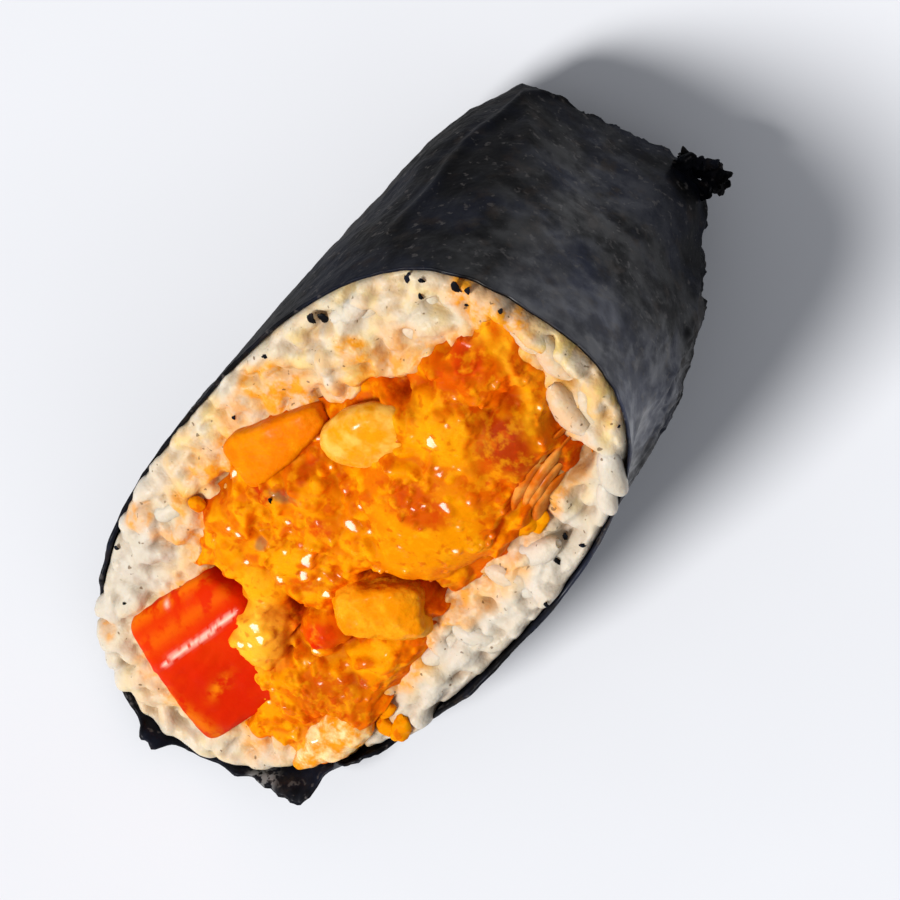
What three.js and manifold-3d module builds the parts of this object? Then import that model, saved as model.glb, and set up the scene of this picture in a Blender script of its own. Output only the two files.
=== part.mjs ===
// Half of an onigiri: a triangular rice ball with a creamy salmon and crab filling, rolled in a sheet
// of nori and cut through from its apex to the middle of its base. Millimetres, +Z up.
// It lies on the long slanted side of the triangle, so the cut face looks up and towards -Y.
import * as THREE from "three";
import { mergeVertices } from "three/addons/utils/BufferGeometryUtils.js";
import { ConvexGeometry } from "three/addons/geometries/ConvexGeometry.js";
import { ParametricGeometry } from "three/addons/geometries/ParametricGeometry.js";
import { RoundedBoxGeometry } from "three/addons/geometries/RoundedBoxGeometry.js";
import Module from "manifold-3d";

const wasm = await Module();
wasm.setup();

// ---- Driving dimensions ----------------------------------------------------------------------------
const FACE_LENGTH = 66.5; // the cut face, from the rounded apex to the base
const HALF_THICKNESS = 18.9; // half of the ball's thickness at the cut
const SLOPE = THREE.MathUtils.degToRad(32.5); // between the cut face and the side it lies on
const APEX_RADIUS = 8; // rounding of the triangle's apex
const CORNER_RADIUS = 7; // rounding of the triangle's base corner
const BASE_CROWN = 1.0; // how far the base side bulges out
const TIP_TAPER = 0.35; // share of the thickness lost towards the base corner
const LEAN = 0.045; // sideways lean along the face, as the rolled ball is not quite even
const BOW = 0.6; // sideways bow of the body below the face
const SETTLE = 0.8; // how deep the lying side is pressed flat
const SHEET = 0.5; // thickness of the nori
const GAP = 0.3; // clearance between touching pieces
const FACE_START_Y = -36.5; // where the cut face's apex end stands, along Y

const SIN = Math.sin(SLOPE);
const COS = Math.cos(SLOPE);
const APEX_OFFSET = APEX_RADIUS * (1 / SIN - 1); // from the rounded apex to the sharp one
const CORNER_S = FACE_LENGTH - CORNER_RADIUS;
const CORNER_P = (SIN * (CORNER_S + APEX_OFFSET) - CORNER_RADIUS) / COS;
const DEPTH = CORNER_P + CORNER_RADIUS; // from the cut face to the base corner

// The cut face's own frame: x across, s along from the apex end, h out of the face. toPart turns it
// into the part's frame, with the lying side level at z = -SETTLE before it is pressed flat.
const toPart = new THREE.Matrix4()
  .makeRotationX(SLOPE)
  .setPosition(0, FACE_START_Y, APEX_OFFSET * SIN - SETTLE);
const place = (x, s, h, target = new THREE.Vector3()) => target.set(x, s, h).applyMatrix4(toPart);
const OUTWARD = place(0, 0, 1).sub(place(0, 0, 0)); // the cut face's normal

// ---- Small helpers ---------------------------------------------------------------------------------
// A seeded generator of numbers from 0 to 1.
function seeded(seed) {
  let state = seed;
  return () => {
    state = (state + 0x6d2b79f5) | 0;
    let t = Math.imul(state ^ (state >>> 15), 1 | state);
    t = (t + Math.imul(t ^ (t >>> 7), 61 | t)) ^ t;
    return ((t ^ (t >>> 14)) >>> 0) / 4294967296;
  };
}

const MERGE = 1e-3; // vertices nearer than this are one

// A closed geometry as a solid: only positions kept, shared vertices merged, flat triangles dropped.
function solid(geometry) {
  const bare = geometry.clone();
  bare.deleteAttribute("normal");
  bare.deleteAttribute("uv");
  const merged = mergeVertices(bare, MERGE);
  const index = merged.index.array;
  const faces = [];
  for (let i = 0; i < index.length; i += 3) {
    const [a, b, c] = [index[i], index[i + 1], index[i + 2]];
    if (a !== b && b !== c && c !== a) faces.push([a, b, c]);
  }
  const make = (list) => {
    const triVerts = new Uint32Array(list.flat());
    const vertProperties = merged.attributes.position.array;
    return new wasm.Manifold(new wasm.Mesh({ numProp: 3, vertProperties, triVerts }));
  };
  const made = make(faces);
  return made.volume() < 0 ? make(faces.map(([a, b, c]) => [a, c, b])) : made;
}

const union = (solids) => solids.reduce((all, one) => all.add(one));

// A solid as a geometry that holds nothing but positions.
function geometryOf(made) {
  const { numProp, numVert, vertProperties, triVerts } = made.getMesh();
  const positions = new Float32Array(numVert * 3);
  for (let i = 0; i < numVert; i += 1) {
    positions.set(vertProperties.subarray(i * numProp, i * numProp + 3), i * 3);
  }
  const geometry = new THREE.BufferGeometry();
  geometry.setAttribute("position", new THREE.BufferAttribute(positions, 3));
  return geometry.setIndex(new THREE.BufferAttribute(new Uint32Array(triVerts), 1));
}

// A solid after its cuts: slivers finer than this are evened out, and no loose scrap is kept.
const FINENESS = 0.05;
function tidy(made) {
  let whole = made.simplify(FINENESS);
  for (;;) {
    const bodies = solid(geometryOf(whole)).decompose();
    whole = bodies.reduce((best, one) => (one.volume() > best.volume() ? one : best));
    if (bodies.length === 1) return whole;
  }
}

// ---- The wrapped body ------------------------------------------------------------------------------
// Its sections run parallel to the cut face. At depth p a section reaches from lowS to highS along the
// face, inset evenly by e from the outer skin: a straight lying side, a straight base side, and round
// corners where they meet the apex and each other.
function lowS(p, e) {
  const corner = CORNER_RADIUS - e;
  const apex = APEX_RADIUS - e;
  if (p < apex * COS) return APEX_RADIUS - Math.sqrt(apex ** 2 - Math.max(p, 0) ** 2);
  if (p < CORNER_P + corner * COS) return (p * COS + e) / SIN - APEX_OFFSET;
  return CORNER_S - Math.sqrt(Math.max(corner ** 2 - (p - CORNER_P) ** 2, 0));
}

function highS(p, e) {
  const corner = CORNER_RADIUS - e;
  if (p > CORNER_P) return CORNER_S + Math.sqrt(Math.max(corner ** 2 - (p - CORNER_P) ** 2, 0));
  const crown = BASE_CROWN * Math.sin((Math.PI * Math.max(p, 0)) / CORNER_P);
  return FACE_LENGTH - e + crown;
}

// Half of the thickness at depth p: it tapers towards the base corner and rounds off over it.
function halfWidth(p, e) {
  const share = Math.min(Math.max(p, 0) / (DEPTH - e), 1);
  return (HALF_THICKNESS * (1 - TIP_TAPER * share ** 2) - e) * Math.sqrt(1 - share ** 10);
}

// How far the body is pushed sideways at a place along the face and below it.
const sideways = (s, p) => LEAN * (s - 45) + BOW * Math.sin((Math.PI * p) / DEPTH);

// A point of the skin at depth p and angle a: each section is a superellipse, blunt at the base side,
// and round at the apex side but blunter with depth. z never goes below floor, which presses the
// lying side flat.
const BASE_POWER = 2.8;
const APEX_POWER = 2.2;
function skin(p, a, e, floor, target) {
  const [low, high] = [lowS(p, e), highS(p, e)];
  const power = Math.sin(a) > 0 ? BASE_POWER : APEX_POWER + (0.9 * p) / DEPTH;
  const bend = (t) => Math.sign(t) * Math.abs(t) ** (2 / power);
  const s = (low + high) / 2 + ((high - low) / 2) * bend(Math.sin(a));
  place(halfWidth(p, e) * bend(Math.cos(a)) + sideways(s, p), s, -p, target);
  target.z = Math.max(target.z, floor);
  return target;
}

// The skins of all bodies have the same grid, so that they stay evenly apart. Rows lie closer where
// the apex and the base corner round off.
const AROUND = 40;
const ROWS = 12;
const rowDepth = (j, e) => ((DEPTH - e) * (1 - Math.cos((Math.PI * j) / ROWS))) / 2;

// A body inset by e with a flat top: below the cut face, or above it on straight walls.
function body(e, top) {
  const centre = place(0, FACE_LENGTH / 2, top);
  const shape = (u, v, target) => {
    const j = Math.round(v * (ROWS + 2));
    if (j === 0) return target.copy(centre);
    const depth = Math.max(rowDepth(Math.max(j - 2, 0), e), -top);
    skin(depth, u * 2 * Math.PI, e, e, target);
    return j === 1 ? target.addScaledVector(OUTWARD, Math.max(top, 0)) : target;
  };
  return solid(new ParametricGeometry(shape, AROUND, ROWS + 2));
}
const WALL = SHEET + GAP; // from the outer skin to what the sheet holds
const room = body(WALL, 9); // all that the sheet holds is inside this

// ---- Filling and its pieces ------------------------------------------------------------------------
// Moves a geometry into the cut face: turned about its own three axes in degrees, set at a centre.
function placed(geometry, centre, [turn = 0, tip = 0, roll = 0] = []) {
  const [x, y, z] = [tip, roll, turn].map(THREE.MathUtils.degToRad);
  const turned = new THREE.Matrix4().makeRotationFromEuler(new THREE.Euler(x, y, z, "ZYX"));
  return solid(geometry.applyMatrix4(turned.setPosition(...centre)).applyMatrix4(toPart));
}

// A rounded lump, or a block with rounded edges: centre [x, s, h], half sizes [across, along, out],
// then turn, tip and roll. grow widens it evenly.
function lump([centre, half, turns], grow = 0, around = 8, rows = 5) {
  const geometry = new THREE.SphereGeometry(1, around, rows);
  return placed(geometry.scale(...half.map((r) => r + grow)), centre, turns);
}

// A chunk with flat sides, from its upper corners: below, it narrows a little down to a flat bottom.
function chunk([corners, bottom], grow = 0) {
  const upper = corners.map((corner) => new THREE.Vector3(...corner));
  const middle = upper.reduce((sum, one) => sum.add(one), new THREE.Vector3()).divideScalar(upper.length);
  const lower = upper.map((one) => one.clone().lerp(middle, 0.15).setZ(bottom));
  const spread = 1 + grow / Math.min(...upper.map((one) => one.distanceTo(middle)), 3);
  const widened = [...upper, ...lower].map((one) => one.sub(middle).multiplyScalar(spread).add(middle));
  return placed(new ConvexGeometry(widened), [0, 0, 0]);
}

function block([centre, half, turns], grow = 0) {
  const [across, along, out] = half.map((r) => 2 * (r + grow));
  const rounding = 0.28 * Math.min(across, along, out);
  return placed(new RoundedBoxGeometry(across, along, out, 1, rounding), centre, turns);
}

// The bed runs into the rice ball and is level with the cut face; the lumps stand on it.
const BED = [[-0.4, 34.5, 0], [11, 27.5, 12]];
const BED_TOP = 0.4;
const LUMPS = [
  [[3.2, 43.2, 1.5], [7.2, 9.2, 3.6], [-10]], // the large smooth one
  [[0.8, 51.2, 1.0], [5.6, 5.0, 3.0]],
  [[5.6, 54.4, 1.2], [4.0, 5.0, 2.6], [-10]],
  [[-1.8, 58.4, 0.7], [4.4, 3.6, 2.2]],
  [[-1.2, 62.0, 0.0], [4.2, 2.8, 1.5], [-20]],
  [[-4.2, 35.4, 0.9], [4.4, 4.6, 2.6], [20]],
  [[-8.6, 29.8, 0.6], [4.2, 4.0, 2.2], [30]],
  [[-2.2, 29.6, 0.8], [4.4, 3.8, 2.5]],
  [[-12.2, 30.2, 0.0], [2.9, 3.4, 1.6], [-20]],
  [[-6.4, 25.4, 0.4], [3.6, 3.0, 2.1]],
  [[-1.9, 20.8, 1.5], [2.5, 4.2, 3.0], [-18]], // the yellow one beside the crab stick
  [[2.7, 25.0, 1.3], [2.8, 2.8, 2.7]],
  [[8.2, 25.2, 0.7], [3.4, 3.8, 2.5]],
  [[4.4, 18.0, 0.9], [4.4, 4.4, 2.6]],
  [[9.4, 20.4, 0.6], [3.4, 3.6, 2.3]],
  [[4.2, 12.0, 0.2], [3.8, 4.4, 2.0]],
  [[14.0, 18.8, -0.2], [2.2, 2.2, 1.8]], // a crumb at the rim
];
// The crab stick's upper corners [x, s, h]: a ridge with a narrow face to its left and a broad one.
const CRAB_STICK = [
  [-11.8, 11.4, 0.2],
  [-9.4, 23.0, 0.2],
  [-7.6, 9.0, 3.2],
  [-4.9, 21.8, 3.4],
  [-6.8, 6.4, 0.6],
  [1.3, 6.2, 1.0],
  [2.9, 10.0, 1.6],
  [0.6, 20.6, 1.8],
];
// Pieces large enough to stand on their own.
const PIECES = {
  crab_stick: [chunk, [CRAB_STICK, -4]],
  salmon_wedge: [block, [[-11.6, 38.8, 0.9], [2.7, 5.3, 1.9], [-24, 2, -8]]],
  salmon_round: [lump, [[-5.2, 46.8, 2.4], [3.3, 4.7, 1.8], [5, 0, -12]]],
  salmon_block: [block, [[5.9, 30.8, 2.2], [2.7, 3.9, 2.5], [-45, -6]]],
  salmon_tip: [block, [[10.0, 13.6, 1.1], [2.6, 5.0, 1.9], [-15, 8]]],
};
// Thin leaves of crab stick that stand on edge beside the large lump: where each one stands.
const LEAVES = [[9.9, 50.2], [11.1, 50.9], [12.3, 51.4]];
const LEAF_HALF = [0.42, 4.6, 2.2];
const LEAF_FOOT = [[11.1, 51.0, -1.9], [2.1, 3.2, 0.9], [-4]];

const shapes = new Map(
  Object.entries(PIECES).map(([name, [form, sizes]]) => [name, (grow) => form(sizes, grow)]),
);
// The leaves join over a small foot, as the layers of one stick do.
shapes.set("crab_leaves", (grow) => {
  const upright = LEAVES.map(([x, s], i) => block([[x, s, 0.3], LEAF_HALF, [-2 - 3 * i]], grow));
  return union([...upright, block(LEAF_FOOT, grow)]);
});
shapes.set("filling", (grow) => {
  const bed = lump(BED, grow, 16, 8).intersect(body(0, BED_TOP + grow));
  return union([bed, ...LUMPS.map((one) => lump(one, grow))]);
});

// ---- Rice ------------------------------------------------------------------------------------------
const GRAIN_HALF = [3.2, 1.4, 1.3]; // of a cooked grain, before its own variation
const GRAIN_SPACING = 3.0; // between the middles of two grains
const GRAIN_TRIES = 9000;
const RICE_TOP = -1.0; // the core's own top, below the cut face
// A few grains that stand out of the rest, laid first: where, and which way they point in degrees.
const PROUD_GRAINS = [[8.8, 60.0, -5], [14.8, 56.6, 122], [1.0, 64.6, -4], [15.8, 45.0, 70]];

// The half width of an oblong at s: a superellipse about its middle.
const oblong = (s, middle, halfLength, half, power) =>
  half * Math.max(1 - Math.abs((s - middle) / halfLength) ** power, 0) ** (1 / power);

// Whether a grain's middle may lie here: away from the sheet, and away from the filling.
function inRice(x, s) {
  const middle = FACE_LENGTH / 2;
  const power = s > middle ? BASE_POWER : APEX_POWER;
  const rim = oblong(s, middle, middle - 1.8, HALF_THICKNESS - 1.8, power);
  const hollow = oblong(s, 35.5, 26.5, 10.4, 2.4);
  return Math.abs(x - sideways(s, 0)) < rim && Math.abs(x + 0.4) > hollow;
}

// Grains lie in the ring of rice round the filling, one after another, each clear of those before it.
function grains() {
  const random = seeded(11);
  const laid = [];
  const lay = (x, s, turn, lift) => {
    laid.push({ x, s, sizes: GRAIN_HALF.map((r) => r * (0.85 + 0.3 * random())), turn, lift });
  };
  for (const [x, s, turn] of PROUD_GRAINS) lay(x, s, turn, 0.5);
  for (let i = 0; i < GRAIN_TRIES; i += 1) {
    const [x, s] = [(random() * 2 - 1) * HALF_THICKNESS, random() * FACE_LENGTH];
    const clear = laid.every((one) => Math.hypot(one.x - x, one.s - s) > GRAIN_SPACING);
    if (clear && inRice(x, s)) lay(x, s, 180 * random(), 0.75 * random() - 0.55);
  }
  return union(
    laid.map(({ x, s, sizes, turn, lift }) => lump([[x, s, lift], sizes, [turn, 0, 0]], 0, 5, 4)),
  );
}

function rice(clearOf) {
  const whole = body(WALL, RICE_TOP).add(grains().intersect(room));
  return whole.subtract(clearOf);
}

// ---- Nori ------------------------------------------------------------------------------------------
// Torn teeth of the sheet's edge: where round the face in degrees, how tall, how wide in degrees.
const RIM_TEETH = [
  [250, 0.9, 4],
  [261, 2.0, 5],
  [284, 1.5, 7],
  [308, 3.0, 6],
  [324, 1.2, 5],
  [12, 0.8, 6],
];

// Height of the torn edge above the cut face, at angle a in radians.
function rimHeight(a) {
  const tooth = ([at, tall, wide]) => {
    const [away, width] = [a - THREE.MathUtils.degToRad(at), THREE.MathUtils.degToRad(wide)];
    return tall * Math.exp((2 * (Math.cos(away) - 1)) / width ** 2);
  };
  const torn = 0.22 * Math.sin(7 * a + 1) + 0.18 * Math.sin(17 * a);
  return -0.3 + torn + RIM_TEETH.reduce((sum, one) => sum + tooth(one), 0);
}

// The sheet: an outer skin from its pole at the base corner up to the rim, and an inner one back down.
function wrap() {
  const shape = (u, v, target) => {
    const j = Math.round(v * (2 * ROWS + 1));
    const outer = j <= ROWS;
    const inset = outer ? 0 : SHEET;
    const row = outer ? ROWS - j : j - ROWS - 1;
    const a = u * 2 * Math.PI;
    skin(rowDepth(row, inset), a, inset, inset, target);
    return row > 0 ? target : target.addScaledVector(OUTWARD, rimHeight(a));
  };
  return solid(new ParametricGeometry(shape, AROUND, 2 * ROWS + 1));
}

// A crumpled scrap of sheet that stands out of the base corner: a curled strip from start along the
// direction given.
function scrap(start, direction, length, width, curl) {
  const along = new THREE.Vector3(...direction).normalize();
  const across = new THREE.Vector3(0, 0, 1).cross(along).normalize();
  const up = along.clone().cross(across);
  const [steps, sides] = [7, 8];
  const shape = (u, v, target) => {
    const j = Math.round(v * (steps + 2)) - 1;
    const t = THREE.MathUtils.clamp(j / steps, 0, 1);
    const open = j < 0 || j > steps ? 0 : 1;
    const a = u * 2 * Math.PI + Math.PI / sides;
    const side = open * Math.cos(a) * width * (0.75 + 0.25 * Math.cos(7 * t));
    const lift = curl * t * t + 0.35 * Math.sin(9 * t);
    const thick = open * (0.6 * Math.sin(a) + 0.6 * t * Math.sin(2.2 * Math.cos(a)));
    target.set(...start).addScaledVector(along, length * (t - 0.3 * t * t));
    return target.addScaledVector(up, lift + thick).addScaledVector(across, side);
  };
  return solid(new ParametricGeometry(shape, sides, steps + 2));
}

function nori() {
  const scraps = [
    scrap([8.4, 33.5, 12], [0.62, 0.78, 0.05], 7.4, 2.0, 2.2),
    scrap([12.2, 29.5, 10], [0.85, 0.5, 0], 4.4, 1.5, 1.0),
  ];
  return wrap().add(union(scraps).subtract(body(SHEET, 0)));
}

// ---- Assembly --------------------------------------------------------------------------------------
const FINISH = {
  rice: { color: 0xf0e6d4, roughness: 0.45 },
  nori: { color: 0x15171a, roughness: 0.55 },
  filling: { color: 0xf08a12, roughness: 0.25 },
  crab_stick: { color: 0xe8330c, roughness: 0.2 },
  crab_leaves: { color: 0xd9601c, roughness: 0.3 },
  salmon_wedge: { color: 0xf28a1a, roughness: 0.3 },
  salmon_round: { color: 0xf5a11f, roughness: 0.25 },
  salmon_block: { color: 0xf48c14, roughness: 0.3 },
  salmon_tip: { color: 0xf5a045, roughness: 0.25 },
};

function meshOf(name, made) {
  const geometry = geometryOf(tidy(made));
  geometry.computeVertexNormals();
  const mesh = new THREE.Mesh(geometry, new THREE.MeshStandardMaterial({ metalness: 0, ...FINISH[name] }));
  mesh.name = name;
  return mesh;
}

// Each piece keeps clear of those made before it, the filling of every piece, and the rice of all.
const group = new THREE.Group();
let taken = null;
for (const [name, shape] of shapes) {
  const own = shape(0).intersect(room);
  group.add(meshOf(name, taken ? own.subtract(taken) : own));
  taken = taken ? taken.add(shape(GAP)) : shape(GAP);
}
group.add(meshOf("rice", rice(taken)));
group.add(meshOf("nori", nori()));

export default group;
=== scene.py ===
"""Looks of the cut half of an onigiri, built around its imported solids.

Inside the classes lengths are millimetres in the cut face's own frame: x across the face, s along it
from the apex end, h out of it. Ball.place turns them into the part's frame, in metres. A noise is
given by the size of its first octave and a seed; the seeds and the order of the random draws fix the
shapes.
"""

import logging
import math
from dataclasses import dataclass, field
from enum import Enum
from functools import cached_property

import bpy
import numpy as np
from mathutils import Matrix, Vector


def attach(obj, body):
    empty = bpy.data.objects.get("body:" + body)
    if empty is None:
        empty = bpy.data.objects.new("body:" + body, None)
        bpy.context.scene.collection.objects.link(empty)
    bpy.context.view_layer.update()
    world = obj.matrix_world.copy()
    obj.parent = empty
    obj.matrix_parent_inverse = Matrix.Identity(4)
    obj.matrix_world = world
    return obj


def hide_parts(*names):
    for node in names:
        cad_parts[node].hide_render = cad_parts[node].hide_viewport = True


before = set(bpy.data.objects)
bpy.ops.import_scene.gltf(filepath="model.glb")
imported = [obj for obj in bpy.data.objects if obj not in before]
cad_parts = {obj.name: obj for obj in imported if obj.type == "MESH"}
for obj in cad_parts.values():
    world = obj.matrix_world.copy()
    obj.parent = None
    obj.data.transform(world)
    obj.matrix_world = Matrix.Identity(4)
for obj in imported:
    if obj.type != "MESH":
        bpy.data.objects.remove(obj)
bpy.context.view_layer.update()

LOG = logging.getLogger("onigiri")
MM = 0.001
Points = np.ndarray
Pair = tuple[float, float]
Triple = tuple[float, float, float]
Rgb = tuple[int, int, int]
Socket = bpy.types.NodeSocket
Material = bpy.types.Material
Piece = bpy.types.Object
Rows = tuple[tuple[float, ...], ...]
Surface = tuple[Points, Points]


class Slot(Enum):
    """The record's material slots."""

    NORI = "nori"
    RICE = "rice"
    FILLING = "filling"
    CRAB = "crab"
    CRAB_LEAF = "crab_leaf"
    SALMON = "salmon"


# ---- Numbers -----------------------------------


def light_of(colour: Rgb) -> Points:
    """A screen colour in 0 to 255 as linear light.

    Each channel c becomes ((c + 0.055) / 1.055) to the power 2.4, or c / 12.92 where it is dark.

    Args:
        colour: red, green and blue from 0 to 255.

    Returns:
        Red, green and blue from 0 to 1.
    """
    c = np.asarray(colour, float) / 255
    return np.where(c <= 0.04045, c / 12.92, ((c + 0.055) / 1.055) ** 2.4)


def linear(colour: Rgb) -> tuple[float, float, float, float]:
    """A screen colour as linear light with full opacity."""
    return (*light_of(colour).tolist(), 1.0)


def smoothstep(low: float, high: float, value: Points) -> Points:
    """Eases from 0 at low to 1 at high: t squared times (3 - 2 t)."""
    t = np.clip((value - low) / (high - low), 0, 1)
    return t * t * (3 - 2 * t)


def smooth_max(a: Points, b: Points, blend: float) -> Points:
    """The larger height plus a quarter of blend times the square of (1 - difference / blend)."""
    near = np.clip(1 - np.abs(a - b) / blend, 0, 1)
    return np.maximum(a, b) + blend * near * near / 4


def bell(away: Points, wide: float, power: int = 2) -> Points:
    """A bell curve: e to the minus power of the distance over the width."""
    return np.exp(-((away / wide) ** power))


def arc(radius: float, offset: Points) -> Points:
    """Half chord of a circle: the root of its radius squared minus the offset squared."""
    return np.sqrt(np.maximum(radius**2 - offset**2, 0))


def hashed(i: Points, j: Points, k: Points, seed: int) -> Points:
    """A fixed number from 0 to 1 for each whole lattice point, by mixing its bits.

    Args:
        i, j, k: whole coordinates.
        seed: picks another set of numbers.

    Returns:
        The numbers.
    """
    n = (i * 73856093) ^ (j * 19349663) ^ (k * 83492791) ^ (seed * 7919 + 104729)
    n = ((n ^ (n >> 13)) * 1274126177) & 0xFFFFFFFF
    n = ((n ^ (n >> 16)) * 668265263) & 0xFFFFFFFF
    return (n ^ (n >> 15)) / 4294967296.0


def lattice_noise(x: Points, y: Points, z: Points, seed: int) -> Points:
    """Smooth noise from -1 to 1: fixed numbers at whole points, eased along each axis between them.

    Args:
        x, y, z: the coordinates.
        seed: picks another noise.

    Returns:
        The noise at each point.
    """
    floors = [np.floor(c).astype(np.int64) for c in (x, y, z)]
    parts = [c - f for c, f in zip((x, y, z), floors)]
    eased = [t**3 * (t * (6 * t - 15) + 10) for t in parts]
    total = np.zeros(np.broadcast(x, y, z).shape)
    for corner in range(8):
        bits = [(corner >> axis) & 1 for axis in range(3)]
        weight = 1.0
        for t, bit in zip(eased, bits):
            weight = weight * (t if bit else 1 - t)
        total += weight * hashed(*[f + bit for f, bit in zip(floors, bits)], seed)
    return 2 * total - 1


def ripple(x: Points, y: Points, z: Points, size: float, seed: int, octaves: int = 3) -> Points:
    """Noise in several octaves, each half as large and half as strong as the one before.

    Args:
        x, y, z: the coordinates.
        size: the first octave's size, in the unit of the coordinates.
        seed: picks another noise.
        octaves: how many are added.

    Returns:
        Values around 0, mostly within -1 to 1.
    """
    total, share = 0.0, 1.0
    for octave in range(octaves):
        step = size / 2**octave
        total = total + share * lattice_noise(x / step, y / step, z / step, seed + 31 * octave)
        share /= 2
    return total / 1.5


def flat_ripple(x: Points, y: Points, size: float, seed: int, octaves: int = 3) -> Points:
    """The same noise over two coordinates."""
    return ripple(x, y, 0 * x, size, seed, octaves)


def solid_ripple(points: Points, size: float, seed: int, octaves: int) -> Points:
    """The same noise at points whose three coordinates come last."""
    return ripple(*np.moveaxis(points, -1, 0), size, seed, octaves)


def turned(turn: float, tip: float = 0.0, roll: float = 0.0) -> Points:
    """Rotation matrix of a piece turned about its own out axis, then tipped, then rolled.

    Args:
        turn: degrees about the out axis.
        tip: degrees about the across axis.
        roll: degrees about the along axis.

    Returns:
        The 3 x 3 matrix, turn times roll times tip.
    """
    (ct, st), (cp, sp), (cr, sr) = [
        (math.cos(math.radians(d)), math.sin(math.radians(d)))
        for d in (turn, tip, roll)
    ]
    about_out = np.array([[ct, -st, 0], [st, ct, 0], [0, 0, 1]])
    about_along = np.array([[cr, 0, sr], [0, 1, 0], [-sr, 0, cr]])
    about_across = np.array([[1, 0, 0], [0, cp, -sp], [0, sp, cp]])
    return about_out @ about_along @ about_across


# ---- The ball ----------------------------------


@dataclass(frozen=True)
class Ball:
    """The wrapped half ball's own form: sections that run parallel to the cut face."""

    face_length: float = 66.5
    half_thickness: float = 18.9
    slope: float = math.radians(32.5)
    apex_radius: float = 8.0
    corner_radius: float = 7.0
    base_crown: float = 1.0
    tip_taper: float = 0.35
    lean: float = 0.045
    bow: float = 0.6
    settle: float = 0.8
    tuck: float = 2.4
    start_y: float = -36.5
    base_power: float = 2.8
    apex_power: float = 2.2
    hub: Pair = (1.5, 20.0)
    corners: tuple[Pair, ...] = (
        (17.9, 19.6), (17, 22.4), (15.2, 28.3), (13.5, 30.7), (11.6, 33.4), (10.4, 36), (8.5, 37.7),
        (5.8, 38.6), (-10.8, 36.1), (-13.7, 30.9), (-15, 26), (-15.9, 20),
    )

    @property
    def apex_offset(self) -> float:
        """From the rounded apex to the sharp one."""
        return self.apex_radius * (1 / math.sin(self.slope) - 1)

    @property
    def corner_s(self) -> float:
        """Where the base corner's rounding is centred along the face."""
        return self.face_length - self.corner_radius

    @property
    def corner_p(self) -> float:
        """Where the base corner's rounding is centred below the face."""
        reach = math.sin(self.slope) * (self.corner_s + self.apex_offset)
        return (reach - self.corner_radius) / math.cos(self.slope)

    @property
    def depth(self) -> float:
        """From the cut face to the base corner."""
        return self.corner_p + self.corner_radius

    def place(self, x: Points, s: Points, h: Points) -> Points:
        """Face coordinates as points of the part, drawn in to the creased outline at its base corner.

        Each point moves along its line from the hub by the outline's distance over the plain
        skin's; the move fades out towards the cut face.

        Args:
            x, s: across and along, mm.
            h: out of the face, mm.

        Returns:
            Points in metres, with the three coordinates last.
        """
        plain = self.laid(x, s, h)
        away = plain[..., :2] - self.hub
        turn = np.degrees(np.arctan2(away[..., 1], away[..., 0]))
        at, own, goal = self.outlines
        pull = np.interp(turn, at, goal / own) - 1
        fade = smoothstep(-4, 12, turn) * smoothstep(184, 168, turn)
        fade = fade * smoothstep(34, 16, plain[..., 2])
        plain[..., :2] += away * (pull * fade)[..., None]
        return plain * MM

    def laid(self, x: Points, s: Points, h: Points) -> Points:
        """Face coordinates in the part's frame: turned by the slope about X, then moved.

        Args:
            x, s, h: across, along and out, mm.

        Returns:
            Points in mm.
        """
        sin, cos = math.sin(self.slope), math.cos(self.slope)
        lift = self.apex_offset * sin - self.settle
        y = self.start_y + s * cos - h * sin
        z = lift + s * sin + h * cos
        return np.stack(np.broadcast_arrays(x, y, z), -1).astype(float)

    @cached_property
    def outlines(self) -> tuple[Points, Points, Points]:
        """The base corner seen from above, as distances from the hub.

        Returns:
            Directions in degrees, the plain skin's largest distance in each, and the distance to
            the straight lines between the creased corners.
        """
        p = np.linspace(2, self.depth - 0.1, 160)[:, None]
        x, s = self.skin(p, np.linspace(0, 2 * np.pi, 720)[None, :], 0.0)
        skin = self.laid(x, s, -p)[..., :2].reshape(-1, 2) - self.hub
        turn = np.degrees(np.arctan2(skin[:, 1], skin[:, 0]))
        at = np.arange(-12.0, 196.0, 4.0)
        own = np.array([np.hypot(*skin[np.abs(turn - one) < 2].T).max(initial=1.0) for one in at])
        own[at > 178] = own[at <= 178][-1]
        ends = np.asarray(self.corners) - self.hub
        share = np.linspace(0, 1, 30)[None, :, None]
        line = (ends[:-1, None] * (1 - share) + ends[1:, None] * share).reshape(-1, 2)
        goal = np.interp(at, np.degrees(np.arctan2(line[:, 1], line[:, 0])), np.hypot(*line.T))
        return at, own, goal

    def low_s(self, p: Points, e: Points) -> Points:
        """Where a section starts: the rounded apex, then the lying side, then the base corner.

        Args:
            p, e: depth below the face and even inset from the outer skin, mm.

        Returns:
            The section's lowest s, mm.
        """
        corner, apex = self.corner_radius - e, self.apex_radius - e
        cos, sin = math.cos(self.slope), math.sin(self.slope)
        nose = self.apex_radius - arc(apex, np.maximum(p, 0))
        side = (p * cos + e) / sin - self.apex_offset
        end = self.corner_s - arc(corner, p - self.corner_p)
        return np.where(p < apex * cos, nose, np.where(p < self.corner_p + corner * cos, side, end))

    def high_s(self, p: Points, e: Points) -> Points:
        """Where a section ends: the slightly crowned base side, then its rounded corner.

        Args:
            p, e: depth below the face and even inset from the outer skin, mm.

        Returns:
            The section's highest s, mm.
        """
        corner = self.corner_radius - e
        crown = self.base_crown * np.sin(np.pi * np.maximum(p, 0) / self.corner_p)
        end = self.corner_s + arc(corner, p - self.corner_p)
        return np.where(p > self.corner_p, end, self.face_length - e + crown)

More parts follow.
